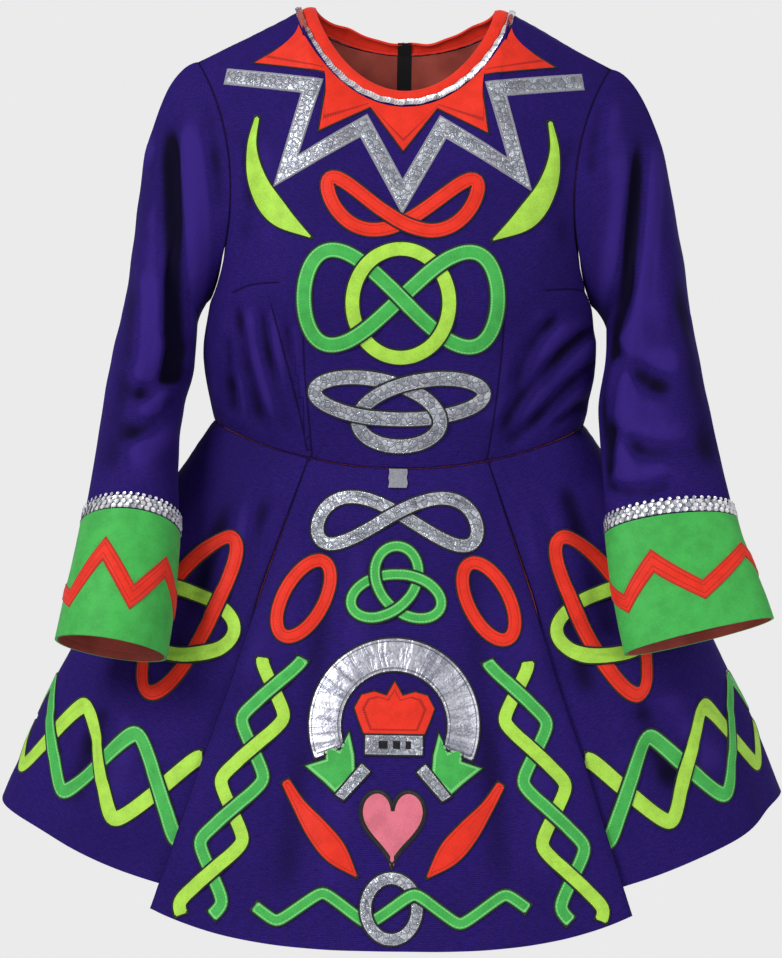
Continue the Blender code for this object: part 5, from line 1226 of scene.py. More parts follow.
def lame():
    """Soft silver foil cloth with fine wrinkles across the ring, painted lighter on their crests and darker in their
    troughs as painted highlight and painted shade, and a stitch line in from both edges.
    """
    look = Look("silver_lame", Metallic=0.7, Specular_IOR_Level=0.5)
    inset, along, _ = look.split(look.map_places("lay"))
    joined = look.put("CombineXYZ", {0: look.maths("MULTIPLY", along, 120.0),
                                     1: look.maths("MULTIPLY", inset, 26.0)})
    folds = look.put("TexNoise", {"Vector": joined.outputs[0], "Scale": 1.0, "Detail": 3.0,
                                  "Distortion": 0.8}).outputs["Fac"]
    fine = look.noise(520, 3)
    crease = look.noise(90, 3, rough=0.55)
    # Painted highlight and painted shade: the tone follows the same wrinkles as the bump
    tone = look.blend(look.span(look.maths("ADD", look.maths("MULTIPLY", folds, 0.7),
                                           look.maths("MULTIPLY", fine, 0.3)),
                                0.36, 0.62), (0.33, 0.34, 0.42, 1), (0.70, 0.71, 0.80, 1))
    gap = look.maths("ABSOLUTE", look.maths("SUBTRACT", inset, 0.0030))
    line = look.span(gap, 0.0002, 0.0006, 0.75, 0.0)
    tone = look.blend(line, tone, (0.13, 0.13, 0.17, 1))
    height = look.maths("ADD", look.maths("MULTIPLY", folds, 2.2), look.maths("MULTIPLY", crease, 1.3))
    height = look.maths("ADD", height, look.maths("SUBTRACT", look.maths("MULTIPLY", fine, 0.25), line))
    return look.finish(tone, height, 0.0010, 0.75, look.span(fine, 0.3, 0.7, 0.28, 0.42))


def lining():
    """Dull red lining satin, darkened with painted shade within 3 mm of a seam, so that no red shows through the
    outside's seam lines.
    """
    look = Look("red_lining_satin", Roughness=0.5, Sheen_Weight=0.15, Specular_IOR_Level=0.35)
    slow, fine = look.noise(26, 3), look.noise(1100, 2)
    colour = look.blend(look.span(slow, 0.35, 0.65), (0.36, 0.062, 0.045, 1), (0.56, 0.110, 0.080, 1))
    seam, _, _ = look.split(look.map_places("lay"))
    # Painted shade: the lining takes the wool's painted shade colour near each seam
    colour = look.blend(look.span(look.maths("ABSOLUTE", seam), 0.0030, 0.0042, 1.0, 0.0), colour, WOOL_PAINTED_SHADE)
    height = look.maths("ADD", look.maths("MULTIPLY", slow, 6.0), look.maths("MULTIPLY", fine, 0.3))
    return look.finish(colour, height, 0.0004, 0.5)


def tape():
    look = Look("black_tape_weave", Roughness=0.8, Specular_IOR_Level=0.25)
    ribs = look.waves(look.split(look.object_places)[2], 0.0009)
    fine = look.noise(1300, 2)
    colour = look.blend(look.maths("MULTIPLY", ribs, fine), (0.006, 0.006, 0.007, 1), (0.022, 0.022, 0.025, 1))
    return look.finish(colour, look.maths("ADD", ribs, fine), 0.0002, 0.6)


def steel():
    look = Look("zip_metal_brushed", Metallic=1.0)
    fine = look.noise(1, 3, look.stretched(look.object_places, 300, 300, 2600))
    worn = look.noise(420, 3)
    colour = look.blend(look.span(worn, 0.4, 0.7), (0.16, 0.16, 0.17, 1), (0.28, 0.28, 0.29, 1))
    return look.finish(colour, fine, 0.00005, 0.5, look.span(worn, 0.3, 0.7, 0.26, 0.42))


def sequin():
    """Sequins: each has its own brightness and a little of its own colour."""
    look = Look("silver_sequin", Metallic=0.35, Specular_IOR_Level=0.7)
    own = look.put("NewGeometry").outputs["Random Per Island"]
    tone = look.blend(look.span(own, 0.0, 0.45), (0.42, 0.42, 0.46, 1), (0.95, 0.95, 0.97, 1))
    tint = look.blend(look.maths("FRACT", look.maths("MULTIPLY", own, 7.3)), (0.72, 0.80, 0.95, 1),
                      (0.98, 0.86, 0.92, 1))
    return look.finish(look.blend(0.25, tone, tint), look.noise(700, 1), 0.0001, 0.3,
                       look.span(own, 0, 1, 0.16, 0.34))


def grey_ribbon():
    look = Look("grey_tab_ribbon", Roughness=0.45, Metallic=0.2)
    fine = look.noise(1500, 2)
    colour = look.blend(look.span(fine, 0.35, 0.65), (0.24, 0.24, 0.28, 1), (0.42, 0.42, 0.48, 1))
    return look.finish(colour, fine, 0.0002, 0.6)


def make_materials():
    return {
        "purple_wool": wool(),
        "green_crepe": crepe("green_crepe_cloth", GREEN, GREEN_LINE, 0.0020, 0.00045),
        "lime_crepe": crepe("lime_crepe_cloth", LIME),
        "orange_crepe": crepe("orange_crepe_cloth", ORANGE, ORANGE_LINE, 0.0030, 0.00022),
        "pink_crepe": crepe("pink_crepe_cloth", PINK, roughness=0.5),
        "silver_cloth": crackle(),
        "lame": lame(),
        "red_lining": lining(),
        "black_tape": tape(),
        "zip_metal": steel(),
        "sequin": sequin(),
        "tab": grey_ribbon(),
        # The second colour of each satin stitch is its painted highlight on the threads' crests
        "black_satin": satin("black_satin_stitch", (0.004, 0.004, 0.006), (0.020, 0.020, 0.026)),
        "silver_satin": satin("silver_satin_stitch", (0.20, 0.20, 0.24), (0.52, 0.53, 0.60)),
        "orange_satin": satin("orange_satin_stitch", (0.50, 0.020, 0.008), (0.80, 0.035, 0.012)),
    }


# The fields of a sheet's cut: its width and length, and its flat area
Cut = namedtuple("Cut", "width length area")


def cut(made, pieces=()):
    """Returns the sheet as it is. The pieces are not used."""
    return made


# The dress


def zip_gap(grid, sign):
    """Opens the centre back edge round the zip."""
    x = np.abs(grid[..., 0])
    open_share = smooth((grid[..., 2] - ZIP_END_Z) / 0.004)
    grid[..., 0] = sign * (x + open_share * BACK_ZIP_HALF * np.clip(1 - x / 0.02, 0, 1))
    return grid


def ordered(columns, sign):
    """Column places from left to right, as seen from outside the back."""
    return columns if sign < 0 else columns[::-1]


def body(cloth):
    """The bodice and the skirt. Returns the sheets that carry appliques."""
    outer = [cloth["purple_wool"], cloth["red_lining"]]
    sheets = {}
    columns = np.linspace(-1, 1, 41)
    front = grid_of(BODICE_ROWS, columns, lambda t, s: bodice_point(abs(s), t, -1 if s < 0 else 1, FRONT))
    front = finer_columns(softened(front, BODICE_ROWS, columns, SIDE_SHARE, SIDE_SOFT), 4)
    sheets["bodice_front"] = Sheet(front, BODICE_WALL, FRONT_CREASES["bodice"],
                                   seams=("left", "right", "bottom", "top"),
                                   darts=FRONT_DARTS)
    panel = finer_columns(grid_of(SKIRT_ROWS, np.linspace(-1, 1, 31), lambda t, c: centre_panel_point(c, t)), 4)
    gap = np.minimum(runs(panel, 1), runs(panel, 1)[:, -1:] - runs(panel, 1))
    roll = 0.0026 * np.clip(1 - gap / 0.007, 0, 1) ** 2 * smooth((SKIRT_ROWS - 0.2) / 0.3)[:, None]
    panel = panel - normals(panel) * roll[..., None]
    sheets["skirt_front"] = Sheet(panel, SKIRT_WALL, FRONT_CREASES["skirt"], seams=("left", "right", "top"),
                                  sway=0.0006)
    for name, sign in SIGN.items():
        columns = ordered(np.linspace(0, 1, 21), sign)
        back = grid_of(BODICE_ROWS, columns, lambda t, s, n=sign: bodice_point(s, t, n, BACK))
        back = finer_columns(softened(back, BODICE_ROWS, columns, SIDE_SHARE, SIDE_SOFT), 4)
        sheets["bodice_back_" + name] = Sheet(zip_gap(back, sign), BODICE_WALL, (), BACK_CREASES["bodice"],
                                              ("left", "right", "bottom", "top"), darts=BACK_DARTS)
        back = finer_columns(grid_of(SKIRT_ROWS, ordered(np.linspace(0, 1, 23), sign), lambda t, s,
                                     n=sign: skirt_shape(
            s, t, n, BACK)), 4)
        sheets["skirt_back_" + name] = Sheet(zip_gap(back, sign), SKIRT_WALL, (), BACK_CREASES["skirt"],
                                             ("left", "right", "top"), sway=0.0009)
        side = finer_columns(grid_of(SKIRT_ROWS, ordered(np.linspace(0, 1, 19), -sign), lambda t, f,
                                     n=sign: side_panel_point(
            f, t, n)), 4)
        sheets["skirt_side_" + name] = Sheet(side, SKIRT_WALL, FRONT_CREASES["skirt"],
                                             seams=("left", "right", "top"),
                                             sway=0.0008)
    for name, sheet in sheets.items():
        sheet.made = dress(sheet.shell(name + "_cloth", outer), "purple_wool", name)
    return sheets


def sleeve_grid(rings, side):
    turns = [2 * math.pi * k / ARM_BASE for k in range(ARM_BASE)]
    order = turns if SIGN[side] < 0 else turns[::-1]
    return finer_columns(grid_of(rings, order, lambda w, psi: sleeve_point(psi, w, side)), 4, wrap=True)


def sleeve(side, cloth):
    """A sleeve with its cuff, the trim above it and the lining in its mouth. Returns the cuff's sheet and the trim's
    sheet.
    """
    rings = np.concatenate((np.linspace(SLEEVE_END, CAP_SHARE, 80)[:-1], np.linspace(CAP_SHARE, 0, 40)))
    name = "sleeve_" + side
    arm = Sheet(sleeve_grid(rings, side), SLEEVE_WALL, FRONT_CREASES[name], BACK_CREASES[name], ("top",),
                wrap=True,
                sway=0.0008)
    cut(dress(arm.shell(name + "_cloth", [cloth["purple_wool"], cloth["red_lining"]]), "purple_wool", name))
    rings = np.linspace(1, CUFF_START, 40)
    grid = sleeve_grid(rings, side)
    ease = LAY_GAP + CUFF_EASE * np.clip((rings - 0.80) / 0.15, 0, 1) + CUFF_WALL
    cuff = Sheet(grid + normals(grid, True) * ease[:, None, None], CUFF_WALL, wrap=True, sway=0.0005)
    cuff.made = dress(cuff.shell("cuff_" + side + "_cloth", [cloth["green_crepe"], cloth["red_lining"]]),
                      "green_crepe",
                      "cuff_" + side)
    rings = np.linspace(0.985, SLEEVE_END + 0.004, 14)
    grid = sleeve_grid(rings, side)
    inset = 0.0012 * np.linspace(1, 0, 14) - 0.0012
    facing = Sheet(grid + normals(grid, True) * inset[:, None, None], LINING_WALL, wrap=True, sway=0.0)
    facing = dress(facing.shell("cuff_lining_" + side + "_cloth", [cloth["red_lining"]] * 2), "red_lining",
                   "cuff_lining_" + side)
    cut(facing)
    top = CUFF_START - 0.004 - TRIM_HEIGHT / 0.40
    rings = np.linspace(CUFF_START - 0.004, top, 5)
    grid = sleeve_grid(rings, side)
    lift = normals(grid, True)
    braid = Sheet(grid + lift * (LAY_GAP + 0.0012), 0.0010, wrap=True, sway=0.0)
    braid.made = dress(braid.shell("cuff_trim_" + side + "_cloth", [cloth["silver_cloth"]] * 2), "silver_cloth",
                       "cuff_trim_" + side)
    return cuff, braid


def discs(name, points, lifts, alongs, radius, tilt, material, corners=12):
    """Sequins at points: cupped discs, each leant along its string so that it lies over the next."""
    turns = 2 * math.pi * np.arange(corners) / corners
    lifts, alongs = unit(lifts), unit(alongs)
    across = unit(np.cross(lifts, alongs))
    tilt = np.asarray(tilt)[:, None]
    lean = alongs * np.cos(tilt) + lifts * np.sin(tilt)
    up = lifts * np.cos(tilt) - alongs * np.sin(tilt)
    radius = np.broadcast_to(radius, len(points))
    ring = (lean[:, None] * np.cos(turns)[None, :, None] + across[:, None] * np.sin(turns)[None, :, None])
    rim = points[:, None] + ring * radius[:, None, None] + up[:, None] * (radius * 0.16)[:, None, None]
    hub = points[:, None] + ring * radius[:, None, None] * 0.35
    middle = points[:, None]
    made = np.concatenate((middle, hub, rim), axis=1)
    count = 1 + 2 * corners
    k = np.arange(corners)
    n = (k + 1) % corners
    tris = np.concatenate((np.stack((0 * k, 1 + k, 1 + n), axis=1),
                           np.stack((1 + k, 1 + corners + k, 1 + corners + n), axis=1),
                           np.stack((1 + k, 1 + corners + n, 1 + n), axis=1)))
    faces = (np.arange(len(points))[:, None, None] * count + tris[None]).reshape(-1, 3)
    return dress(piece(name, made.reshape(-1, 3), faces, [material], sharp=80), "silver_cloth")


def braid_sequins(side, braid, cloth):
    """Three rows of sequins round the braid, and small ones that scallop its upper edge."""
    grid, lift = braid.grid, braid.normals
    points, lifts, alongs, sizes = [], [], [], []
    for row, (share, radius) in enumerate(BRAID_ROWS):
        level = min(share, 1.0) * (grid.shape[0] - 1)
        r = min(int(level), grid.shape[0] - 2)
        line = grid[r] + (grid[r + 1] - grid[r]) * (share * (grid.shape[0] - 1) - r)
        here = np.arange(row % 2, grid.shape[1], BRAID_STEP)
        points.append(line[here] + lift[r, here] * 0.0007)
        lifts.append(lift[r, here])
        alongs.append((np.roll(line, -1, axis=0) - line)[here])
        sizes.append(np.full(len(here), radius))
    points, lifts, alongs, sizes = (np.concatenate(k) for k in (points, lifts, alongs, sizes))
    tilt = 0.20 + 0.10 * np.sin(np.arange(len(points)) * 2.3)
    return discs("cuff_sequins_" + side, points, lifts, alongs, sizes, tilt, cloth["sequin"])


def cuff_zigzag(side, cuff, cloth):
    """The zigzag round a cuff. Its plan is in facets round the arm and shares of the cuff's height."""
    corners = CUFF_ZIGZAG[side]
    grid = np.concatenate((cuff.grid, cuff.grid[:, :1]), axis=1)
    lift = np.concatenate((cuff.normals, cuff.normals[:, :1]), axis=1)
    closed = namedtuple("Closed", "grid normals")(grid, lift)
    rows, columns = grid.shape[:2]
    plan = np.stack(np.meshgrid(np.linspace(0, CUFF_FACETS, columns), np.linspace(0, 1, rows)), axis=-1)
    tall = float(np.mean(runs(grid, 0)[-1]))
    facet = float(np.mean(runs(grid, 1)[:, -1])) / CUFF_FACETS
    scale = np.array((facet, tall))
    line = np.array([(c.facet, c.height) for c in corners] + [(CUFF_FACETS, corners[0].height)]) * scale
    counts = side_counts(line)
    length = line[-1, 0]
    around = np.concatenate((line[-2:-1] - (length, 0), line, line[1:2] + (length, 0)))
    levels = strap_levels(CUFF_STRAP)
    made = np.array([between(offset_corners(around, offset, False)[1:-1], counts)[:-1] for offset, _ in levels])
    made[..., 0] %= length
    run = np.arange(made.shape[1]) * APPLIQUE_STEP
    applied = lay_rows("cuff_zigzag_" + side + "_cloth", made / scale,
                       np.array([e for _, e in levels])[:, None], 0.0,
                       Face(closed, plan), [cloth["orange_crepe"], cloth["orange_satin"]], run, closed=True)
    dress(applied, "orange_crepe", "cuff_zigzag_" + side)
    cut(cuff.made, [applied])


def binding_edge(side, half, k):
    """The bound edge of the neck at a share k of the quarter turn from the centre, uneven where it was worn behind."""
    fall = max(math.cos(math.pi / 2 * k), 0.0)
    deep = 0.0115 if half is FRONT else 0.0120
    x = side * BINDING_HALF * math.sin(math.pi / 2 * k)
    z = 0.0030 * (1 - fall) - (half.neck_drop - deep) * fall ** 1.5
    if half is BACK:
        z += sum(worn.rise * math.exp(-((x - worn.x) / worn.reach) ** 2) for worn in WORN_BINDING)
    return np.array((x, (half.neck_y - math.copysign(0.006, half.neck_y)) * fall, z))


def neck(cloth):
    """The neck's binding and the string of sequins over its seam."""
    quarter = np.linspace(0, 1, 46)
    loop = [(-1, BACK, k) for k in quarter] + [(-1, FRONT, k) for k in quarter[-2::-1]]
    loop += [(1, FRONT, k) for k in quarter[1:]] + [(1, BACK, k) for k in quarter[-2::-1]]
    seam = np.array([top_edge(k * NECK_SHARE, half) * np.array((side, 1, 1)) for side, half, k in loop])
    edge = np.array([binding_edge(*place) for place in loop])
    for line in (seam, edge):
        line[0, 0] -= BACK_ZIP_HALF
        line[-1, 0] += BACK_ZIP_HALF
    out = unit(np.cross(np.gradient(seam, axis=0), edge - seam))
    rows = []
    for f in np.linspace(0, 1, 11):
        rows.append(seam + (edge - seam) * f + out * (0.0015 * 4 * f * (1 - f) - 0.0006 * f ** 6))
    strip = Sheet(np.array(rows), 0.0022, seams=("bottom",), sway=0.0002, seam_sink=0.0005)
    bound = dress(strip.shell("neck_binding_cloth", [cloth["orange_crepe"]] * 2), "orange_crepe",
                  "neck_binding")
    line = evenly_space(seam + out * 0.0016 - unit(edge - seam) * 0.0004, 0.0025)
    away = unit(np.array([out[np.argmin(np.linalg.norm(seam - p, axis=1))] for p in line]))
    count = np.arange(len(line))
    wander = unit(np.cross(away, np.gradient(line, axis=0)))
    line = line + wander * (0.0004 * np.sin(count * 0.9))[:, None]
    string = discs("neck_sequins", line, away, np.gradient(line, axis=0), 0.0029,
                   0.34 + 0.14 * np.sin(count * 1.7),
                   cloth["sequin"])
    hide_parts("neck_trim")
    cut(bound, [string])


def evenly_space(line, step):
    run = run_along(line)
    at = np.arange(0, run[-1], step)
    return np.column_stack([np.interp(at, run, line[:, k]) for k in range(3)])


def back_lining(cloth):
    """The lining inside the upper back, on each side of the zip's tape."""
    for name, sign in SIGN.items():
        rows = np.linspace(0.58, 0.985, 40)
        columns = ordered(np.linspace(0, 0.5, 14), sign)
        grid = finer_columns(grid_of(rows, columns, lambda t, s, n=sign: bodice_point(s, t, n, BACK)), 3)
        middle = np.clip(1 - np.abs(grid[..., 0]) / 0.02, 0, 1)
        grid[..., 0] += sign * (TAPE_HALF + 0.0004) * middle
        grid = grid - normals(grid) * (BODICE_WALL + LAY_GAP + 0.0002)
        facing = Sheet(grid, LINING_WALL, sway=0.0003)
        facing = facing.shell("lining_back_" + name + "_cloth", [cloth["red_lining"]] * 2)
        cut(dress(facing, "red_lining", "lining_back_" + name))


def teeth(cloth):
    """The closed chain of the zip: teeth from both sides in turn."""
    line = [bodice_point(0.0, t, -1, BACK) for t in np.linspace(0.992, 0, 60)]
    line += [skirt_shape(0.0, t, -1, BACK) for t in np.linspace(0.01, 0.5, 30)]
    line = np.array([p for p in line if p[2] > ZIP_END_Z + 0.008])
    line[:, 0] = 0
    line = evenly_space(line, TOOTH_STEP / 2)
    down = unit(np.gradient(line, axis=0))
    out = unit(np.column_stack((0 * line[:, 0], -down[:, 2], down[:, 1])))
    out = np.where(out[:, 1:2] < 0, -out, out)
    corners = np.array([(x, y, z) for x in (-1, 1) for y in (-1, 1) for z in (-1, 1)], float)
    quads = np.array(((0, 1, 3, 2), (4, 6, 7, 5), (0, 4, 5, 1), (2, 3, 7, 6), (0, 2, 6, 4), (1, 5, 7, 3)))
    points, faces = [], []
    for k, (place, way, face) in enumerate(zip(line, down, out)):
        side = 1 if k % 2 else -1
        middle = place + np.array((side * 0.0007, 0, 0)) - face * 0.0002
        taper = np.where(corners[:, :1] * side < 0, 0.8, 1.0)
        points.append(middle + np.array((1.0, 0, 0)) * corners[:, :1] * 0.0015
                      + face * corners[:, 1:2] * 0.0006 * taper
                      + way * corners[:, 2:] * 0.00062 * taper)
        faces.append(quads + 8 * k)
    made = piece("zip_teeth", np.concatenate(points), np.concatenate(faces), [cloth["zip_metal"]], sharp=30)
    return dress(made, "zip_metal", "zip_chain")


def tape_end(cloth):
    """The top of the zip's tape, which shows between the ends of the neck's binding."""
    seam, edge = top_edge(0.0, BACK), binding_edge(1, BACK, 0.0)
    inward = np.array((0, -0.0024, 0))
    low = seam + (seam - edge) * 0.5
    rows = [low + (edge - low) * f + inward * (1 - 0.3 * f) for f in np.linspace(0, 0.97, 8)]
    grid = np.array([[p * (0, 1, 1) + (x, 0, 0) for x in np.linspace(TAPE_HALF, -TAPE_HALF, 5)] for p in rows])
    made = Sheet(grid, TAPE_WALL, sway=0.0)
    return dress(made.shell("zip_tape_top", [cloth["black_tape"]] * 2), "black_tape")


def tab(panel, cloth):
    """The small grey ribbon tab that hangs from the waist seam."""
    xs, drops = np.linspace(-0.0078, 0.0078, 9), np.linspace(0.0155, -0.0006, 9)
    top = panel.spots(np.array([(0.0, -0.4035)]))[0][0][2]
    plan = np.array([[(x + 0.0004 * math.sin(d * 700), top - d) for x in xs] for d in drops])
    base, lift = panel.spots(plan.reshape(-1, 2))
    curl = 0.0006 + 0.0009 * (np.repeat(drops, 9) / 0.0155) ** 2
    grid = (base + lift * (TAB_WALL + curl)[:, None]).reshape(9, 9, 3)
    made = Sheet(grid, TAB_WALL, sway=0.0)
    return cut(dress(made.shell("waist_tab_cloth", [cloth["tab"]] * 2), "silver_cloth", "waist_tab"))


def leaf_strap(name, slot, ribs, sign):
    rows = np.array([through(np.linspace(0, 1, len(ribs)), ribs, at) for at in np.linspace(0, 1, 60)])
    return Strap(name, slot, rows[:, :2] * np.array((sign, 1)), np.maximum(rows[:, 2], 0.002))


def plait_lines(plait, turn):
    """Two strands that cross again and again: places along, and how far each strand stands off the middle."""
    along = np.linspace(plait.start, plait.end, 400)
    swing = np.sin(2 * math.pi * (along - plait.start) / plait.wave + turn)
    swing = np.arcsin(PLAIT_ROUNDING * swing) / math.asin(PLAIT_ROUNDING) * plait.swing
    return along, (swing, -swing)


def lay_straps(straps, face, cloth):
    weave(straps)
    for strap in straps:
        made = strap.lay(face, [cloth[strap.slot], cloth["black_satin"]])
        dress(made, strap.slot, strap.name)


def yoke(face, cloth):
    half = list(ZIGZAG)
    band = ribbon("yoke_zigzag_cloth", half + mirrored(half[-2::-1]), ZIGZAG_STRAP, face,
                  [cloth["silver_cloth"], cloth["silver_satin"]])
    dress(band, "silver_cloth", "yoke_zigzag")
    points = list(YOKE_POINTS) + [Point(-p.x, p.z, -p.turn) for p in YOKE_POINTS[-2::-1]]
    corners = np.array([(p.x, p.z) for p in points])
    counts = side_counts(corners)
    turns = np.radians(between(np.array([(p.turn, 0) for p in points], float), counts)[:, 0])
    seam = np.column_stack((NECK_HALF * np.sin(turns), -FRONT.neck_drop * np.cos(turns) ** 1.5))
    away = unit(np.gradient(seam, axis=0))
    inner = seam + np.column_stack((-away[:, 1], away[:, 0])) * YOKE_INSET
    rows, depths = [], []
    for inset, _ in PROFILE[:6]:
        rows.append(between(offset_corners(corners, -inset, False), counts))
        depths.append(np.full(len(inner), inset))
    for share in np.linspace(0.12, 1, 8):
        rows.append(rows[5] + (inner - rows[5]) * share)
        depths.append(np.full(len(inner), PROFILE[5][0] + 0.006 * share))
    rows, depths = np.array(rows), np.array(depths)
    run = run_along(rows[3])
    made = lay_rows("yoke_points_cloth", rows, depths, 0.0, face, [cloth["orange_crepe"], cloth["black_satin"]],
                    run)
    dress(made, "orange_crepe", "yoke_points")


def claddagh(face, cloth):
    """The traditional emblem: an open ring, a crown in it, a heart under it and two hands that hold the heart."""
    black = cloth["black_satin"]
    turns = np.radians(np.linspace(-RING_END, 180 + RING_END, 200))
    line = np.column_stack((RING_AT[0] + RING_RADIUS * np.cos(turns), RING_AT[1] + RING_RADIUS * np.sin(turns)))
    ring = Strap("claddagh_ring", "silver_cloth", evenly(line, False), RING_WIDTH).lay(face,
                                                                                       [cloth["lame"], black])
    dress(ring, "silver_cloth", "claddagh_ring")
    turns = np.radians(np.arange(0, 360, 5))
    heart = np.column_stack((HEART_AT[0] + HEART_WIDE * np.sin(turns) ** 3,
                             HEART_AT[1] + HEART_HIGH * (13 * np.cos(turns) - 5 * np.cos(2 * turns)
                                                         - 2 * np.cos(3 * turns) - np.cos(4 * turns))))
    dress(patch("claddagh_heart_cloth", heart[1:], HEART_AT, face, [cloth["pink_crepe"], black], satin=2.4),
          "pink_crepe", "claddagh_heart")
    crown = patch("claddagh_crown_cloth", list(CROWN) + mirrored(CROWN[:0:-1]), CROWN_MIDDLE, face,
                  [cloth["orange_crepe"], black])
    dress(crown, "orange_crepe", "claddagh_crown")
    band = patch("crown_band", CROWN_BAND, (0.0, -0.632), face, [cloth["silver_cloth"], black], rise=0.0004)
    dress(band, "silver_cloth")
    for k, (left, right) in enumerate(CROWN_SLOTS):
        outline = ((left, CROWN_SLOT_TOP), (right, CROWN_SLOT_TOP), (right, CROWN_SLOT_END),
                   (left, CROWN_SLOT_END))
        middle = ((left + right) / 2, (CROWN_SLOT_TOP + CROWN_SLOT_END) / 2)
        dress(patch("crown_slot_" + str(k + 1), outline, middle, face, [black, black], satin=0.3, rise=0.0010),
              "black_tape")
    for side, sign in SIGN.items():
        flip = np.array((sign, 1))
        hand = patch("claddagh_hand_" + side + "_cloth", np.array(HAND) * flip, np.array(HAND_MIDDLE) * flip,
                     face,
                     [cloth["green_crepe"], black])
        dress(hand, "green_crepe", "claddagh_hand_" + side)
        cuff = patch("hand_cuff_" + side, np.array(HAND_CUFF) * flip, np.mean(HAND_CUFF, axis=0) * flip, face,
                     [cloth["silver_cloth"], black], rise=0.0007)
        dress(cuff, "silver_cloth")


def appliques(sheets, cloth):
    """All the appliques, each on the sheet that carries it."""
    bodice = Face(sheets["bodice_front"], sheets["bodice_front"].grid[..., ::2])
    yoke(bodice, cloth)
    straps = [Strap(k.name, k.slot, knot_line(k), k.strap, True) for k in BODICE_KNOTS]
    straps += [leaf_strap("lime_leaf_" + side, "lime_crepe", LIME_LEAF, sign) for side, sign in SIGN.items()]
    lay_straps(straps, bodice, cloth)
    cut(sheets["bodice_front"].made, bodice.pieces)
    panel = Face(sheets["skirt_front"], sheets["skirt_front"].grid[..., ::2])
    claddagh(panel, cloth)
    straps = [Strap(k.name, k.slot, knot_line(k), k.strap, True) for k in PANEL_KNOTS]
    down, swings = plait_lines(EDGE_PLAIT, math.pi / 2)
    top = centre_panel_point(0, 0)[2]
    edge = np.array([panel_half(t) for t in (down - top) / (CENTRE_HEM_Z - top)]) - EDGE_PLAIT.base
    for side, sign in SIGN.items():
        for slot, swing in zip(("lime_crepe", "green_crepe"), swings):
            line = evenly(np.column_stack((sign * (edge + swing), down)), False)
            straps.append(Strap("edge_plait_" + slot.split("_")[0] + "_" + side, slot, line, EDGE_PLAIT.strap))
        straps.append(leaf_strap("orange_leaf_" + side, "orange_crepe", ORANGE_LEAF, sign))
    across, (swing, _) = plait_lines(WAVE_STRAP, math.pi)
    straps.append(Strap("green_wave", "green_crepe",
                        evenly(np.column_stack((across, WAVE_STRAP.base + swing)), False),
                        WAVE_STRAP.strap))
    lay_straps(straps, panel, cloth)
    tab(panel, cloth)
    cut(sheets["skirt_front"].made, panel.pieces)
    for side, sign in SIGN.items():
        sheet = sheets["skirt_side_" + side]
        inward = sheet.across if sign > 0 else sheet.across[:, -1:] - sheet.across
        flank = Face(sheet, np.stack((inward, sheet.up), axis=-1))
        straps = [Strap(k.name + "_" + side, k.slot, knot_line(k), k.strap, True) for k in FLANK_KNOTS]
        along, swings = plait_lines(HEM_PLAIT, math.pi / 2)
        for slot, swing in zip(("lime_crepe", "green_crepe"), swings):
            line = evenly(np.column_stack((along, HEM_PLAIT.base + swing)), False)
            straps.append(Strap("hem_plait_" + slot.split("_")[0] + "_" + side, slot, line, HEM_PLAIT.strap))
        lay_straps(straps, flank, cloth)
        cut(sheet.made, flank.pieces)
        cut(sheets["bodice_back_" + side].made)
        cut(sheets["skirt_back_" + side].made)


# Camera, light and floor


def light(lamp):
    """An area light that faces the middle of the dress."""
    area = bpy.data.lights.new(lamp.name, "AREA")
    area.shape, area.size, area.size_y, area.energy = "RECTANGLE", lamp.wide, lamp.high, lamp.power
    made = bpy.data.objects.new(lamp.name, area)
    made.location = lamp.place
    made.rotation_euler = (Vector(LAMP_AIM) - Vector(lamp.place)).to_track_quat("-Z", "Y").to_euler()
    bpy.context.scene.collection.objects.link(made)


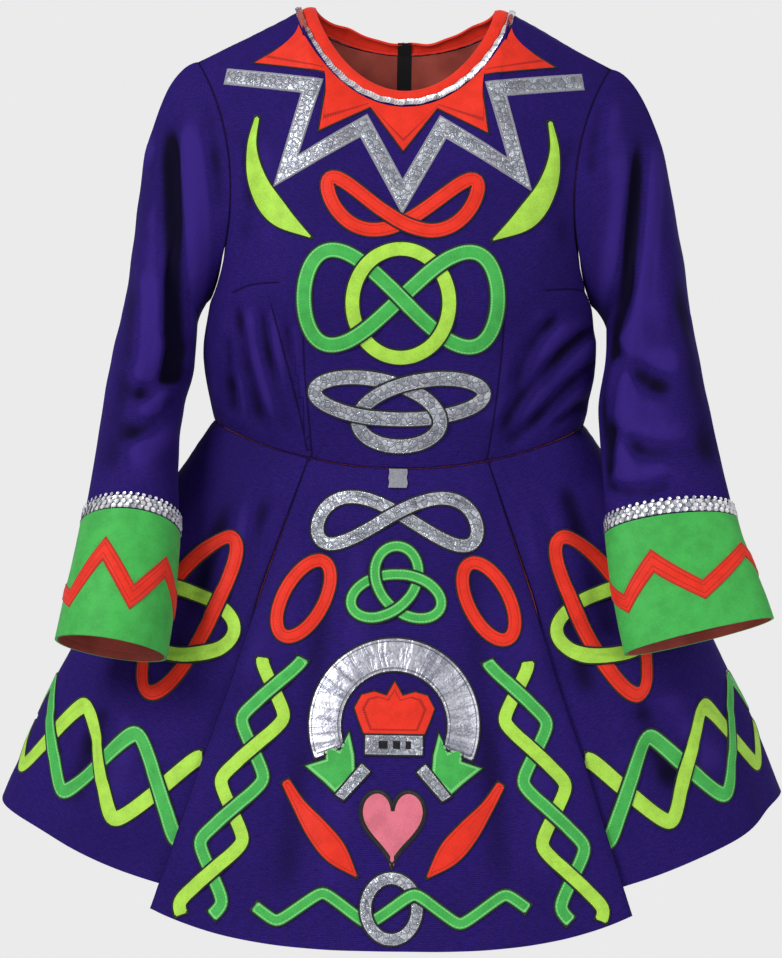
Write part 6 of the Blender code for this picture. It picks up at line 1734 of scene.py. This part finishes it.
def studio():
    scene = bpy.context.scene
    lens = bpy.data.cameras.new("camera")
    lens.sensor_fit, lens.sensor_width = "HORIZONTAL", CAMERA_SENSOR
    lens.lens = CAMERA_SENSOR * CAMERA_AWAY / CAMERA_SEES
    lens.shift_x = CAMERA_SHIFT
    camera = bpy.data.objects.new("camera", lens)
    camera.location = (0, -CAMERA_AWAY, CAMERA_Z)
    camera.rotation_euler = Euler((math.pi / 2, math.radians(CAMERA_ROLL), 0))
    scene.collection.objects.link(camera)
    scene.camera = camera
    scene.view_settings.view_transform = "Standard"
    world = bpy.data.worlds.new("studio")
    scene.world = world
    world.use_nodes = True
    nodes, links = world.node_tree.nodes, world.node_tree.links
    sky = nodes["Background"]
    sky.inputs["Color"].default_value = (0.83, 0.83, 0.83, 1)
    way = nodes.new("ShaderNodeLightPath")
    power = nodes.new("ShaderNodeMapRange")
    power.inputs["To Min"].default_value = WORLD_LIGHT
    power.inputs["To Max"].default_value = 1.0
    links.new(way.outputs["Is Camera Ray"], power.inputs["Value"])
    links.new(power.outputs[0], sky.inputs["Strength"])
    for lamp in LAMPS:
        light(lamp)
    floor = bpy.data.meshes.new("floor")
    floor.from_pydata([(x, y, FLOOR_Z) for x, y in ((-3, -4), (3, -4), (3, FLOOR_BACK), (-3, FLOOR_BACK))], [],
                      [(0, 1, 2, 3)])
    pale = Look("pale_floor", Roughness=0.9)
    floor.materials.append(pale.finish(pale.blend(pale.noise(3), (0.72, 0.72, 0.72, 1), (0.76, 0.76, 0.76, 1))))
    ground = bpy.data.objects.new("floor", floor)
    scene.collection.objects.link(ground)


def main():
    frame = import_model()
    cloth = make_materials()
    for node, slot in (("zip_tape", "black_tape"), ("zip_slider", "zip_metal"), ("zip_pull", "zip_metal")):
        frame["nodes"][node].data.materials.clear()
        frame["nodes"][node].data.materials.append(cloth[slot])
    sheets = body(cloth)
    for side in SIGN:
        cuff, braid = sleeve(side, cloth)
        cut(braid.made, [braid_sequins(side, braid, cloth)])
        cuff_zigzag(side, cuff, cloth)
    neck(cloth)
    back_lining(cloth)
    teeth(cloth)
    tape_end(cloth)
    appliques(sheets, cloth)
    studio()


main()
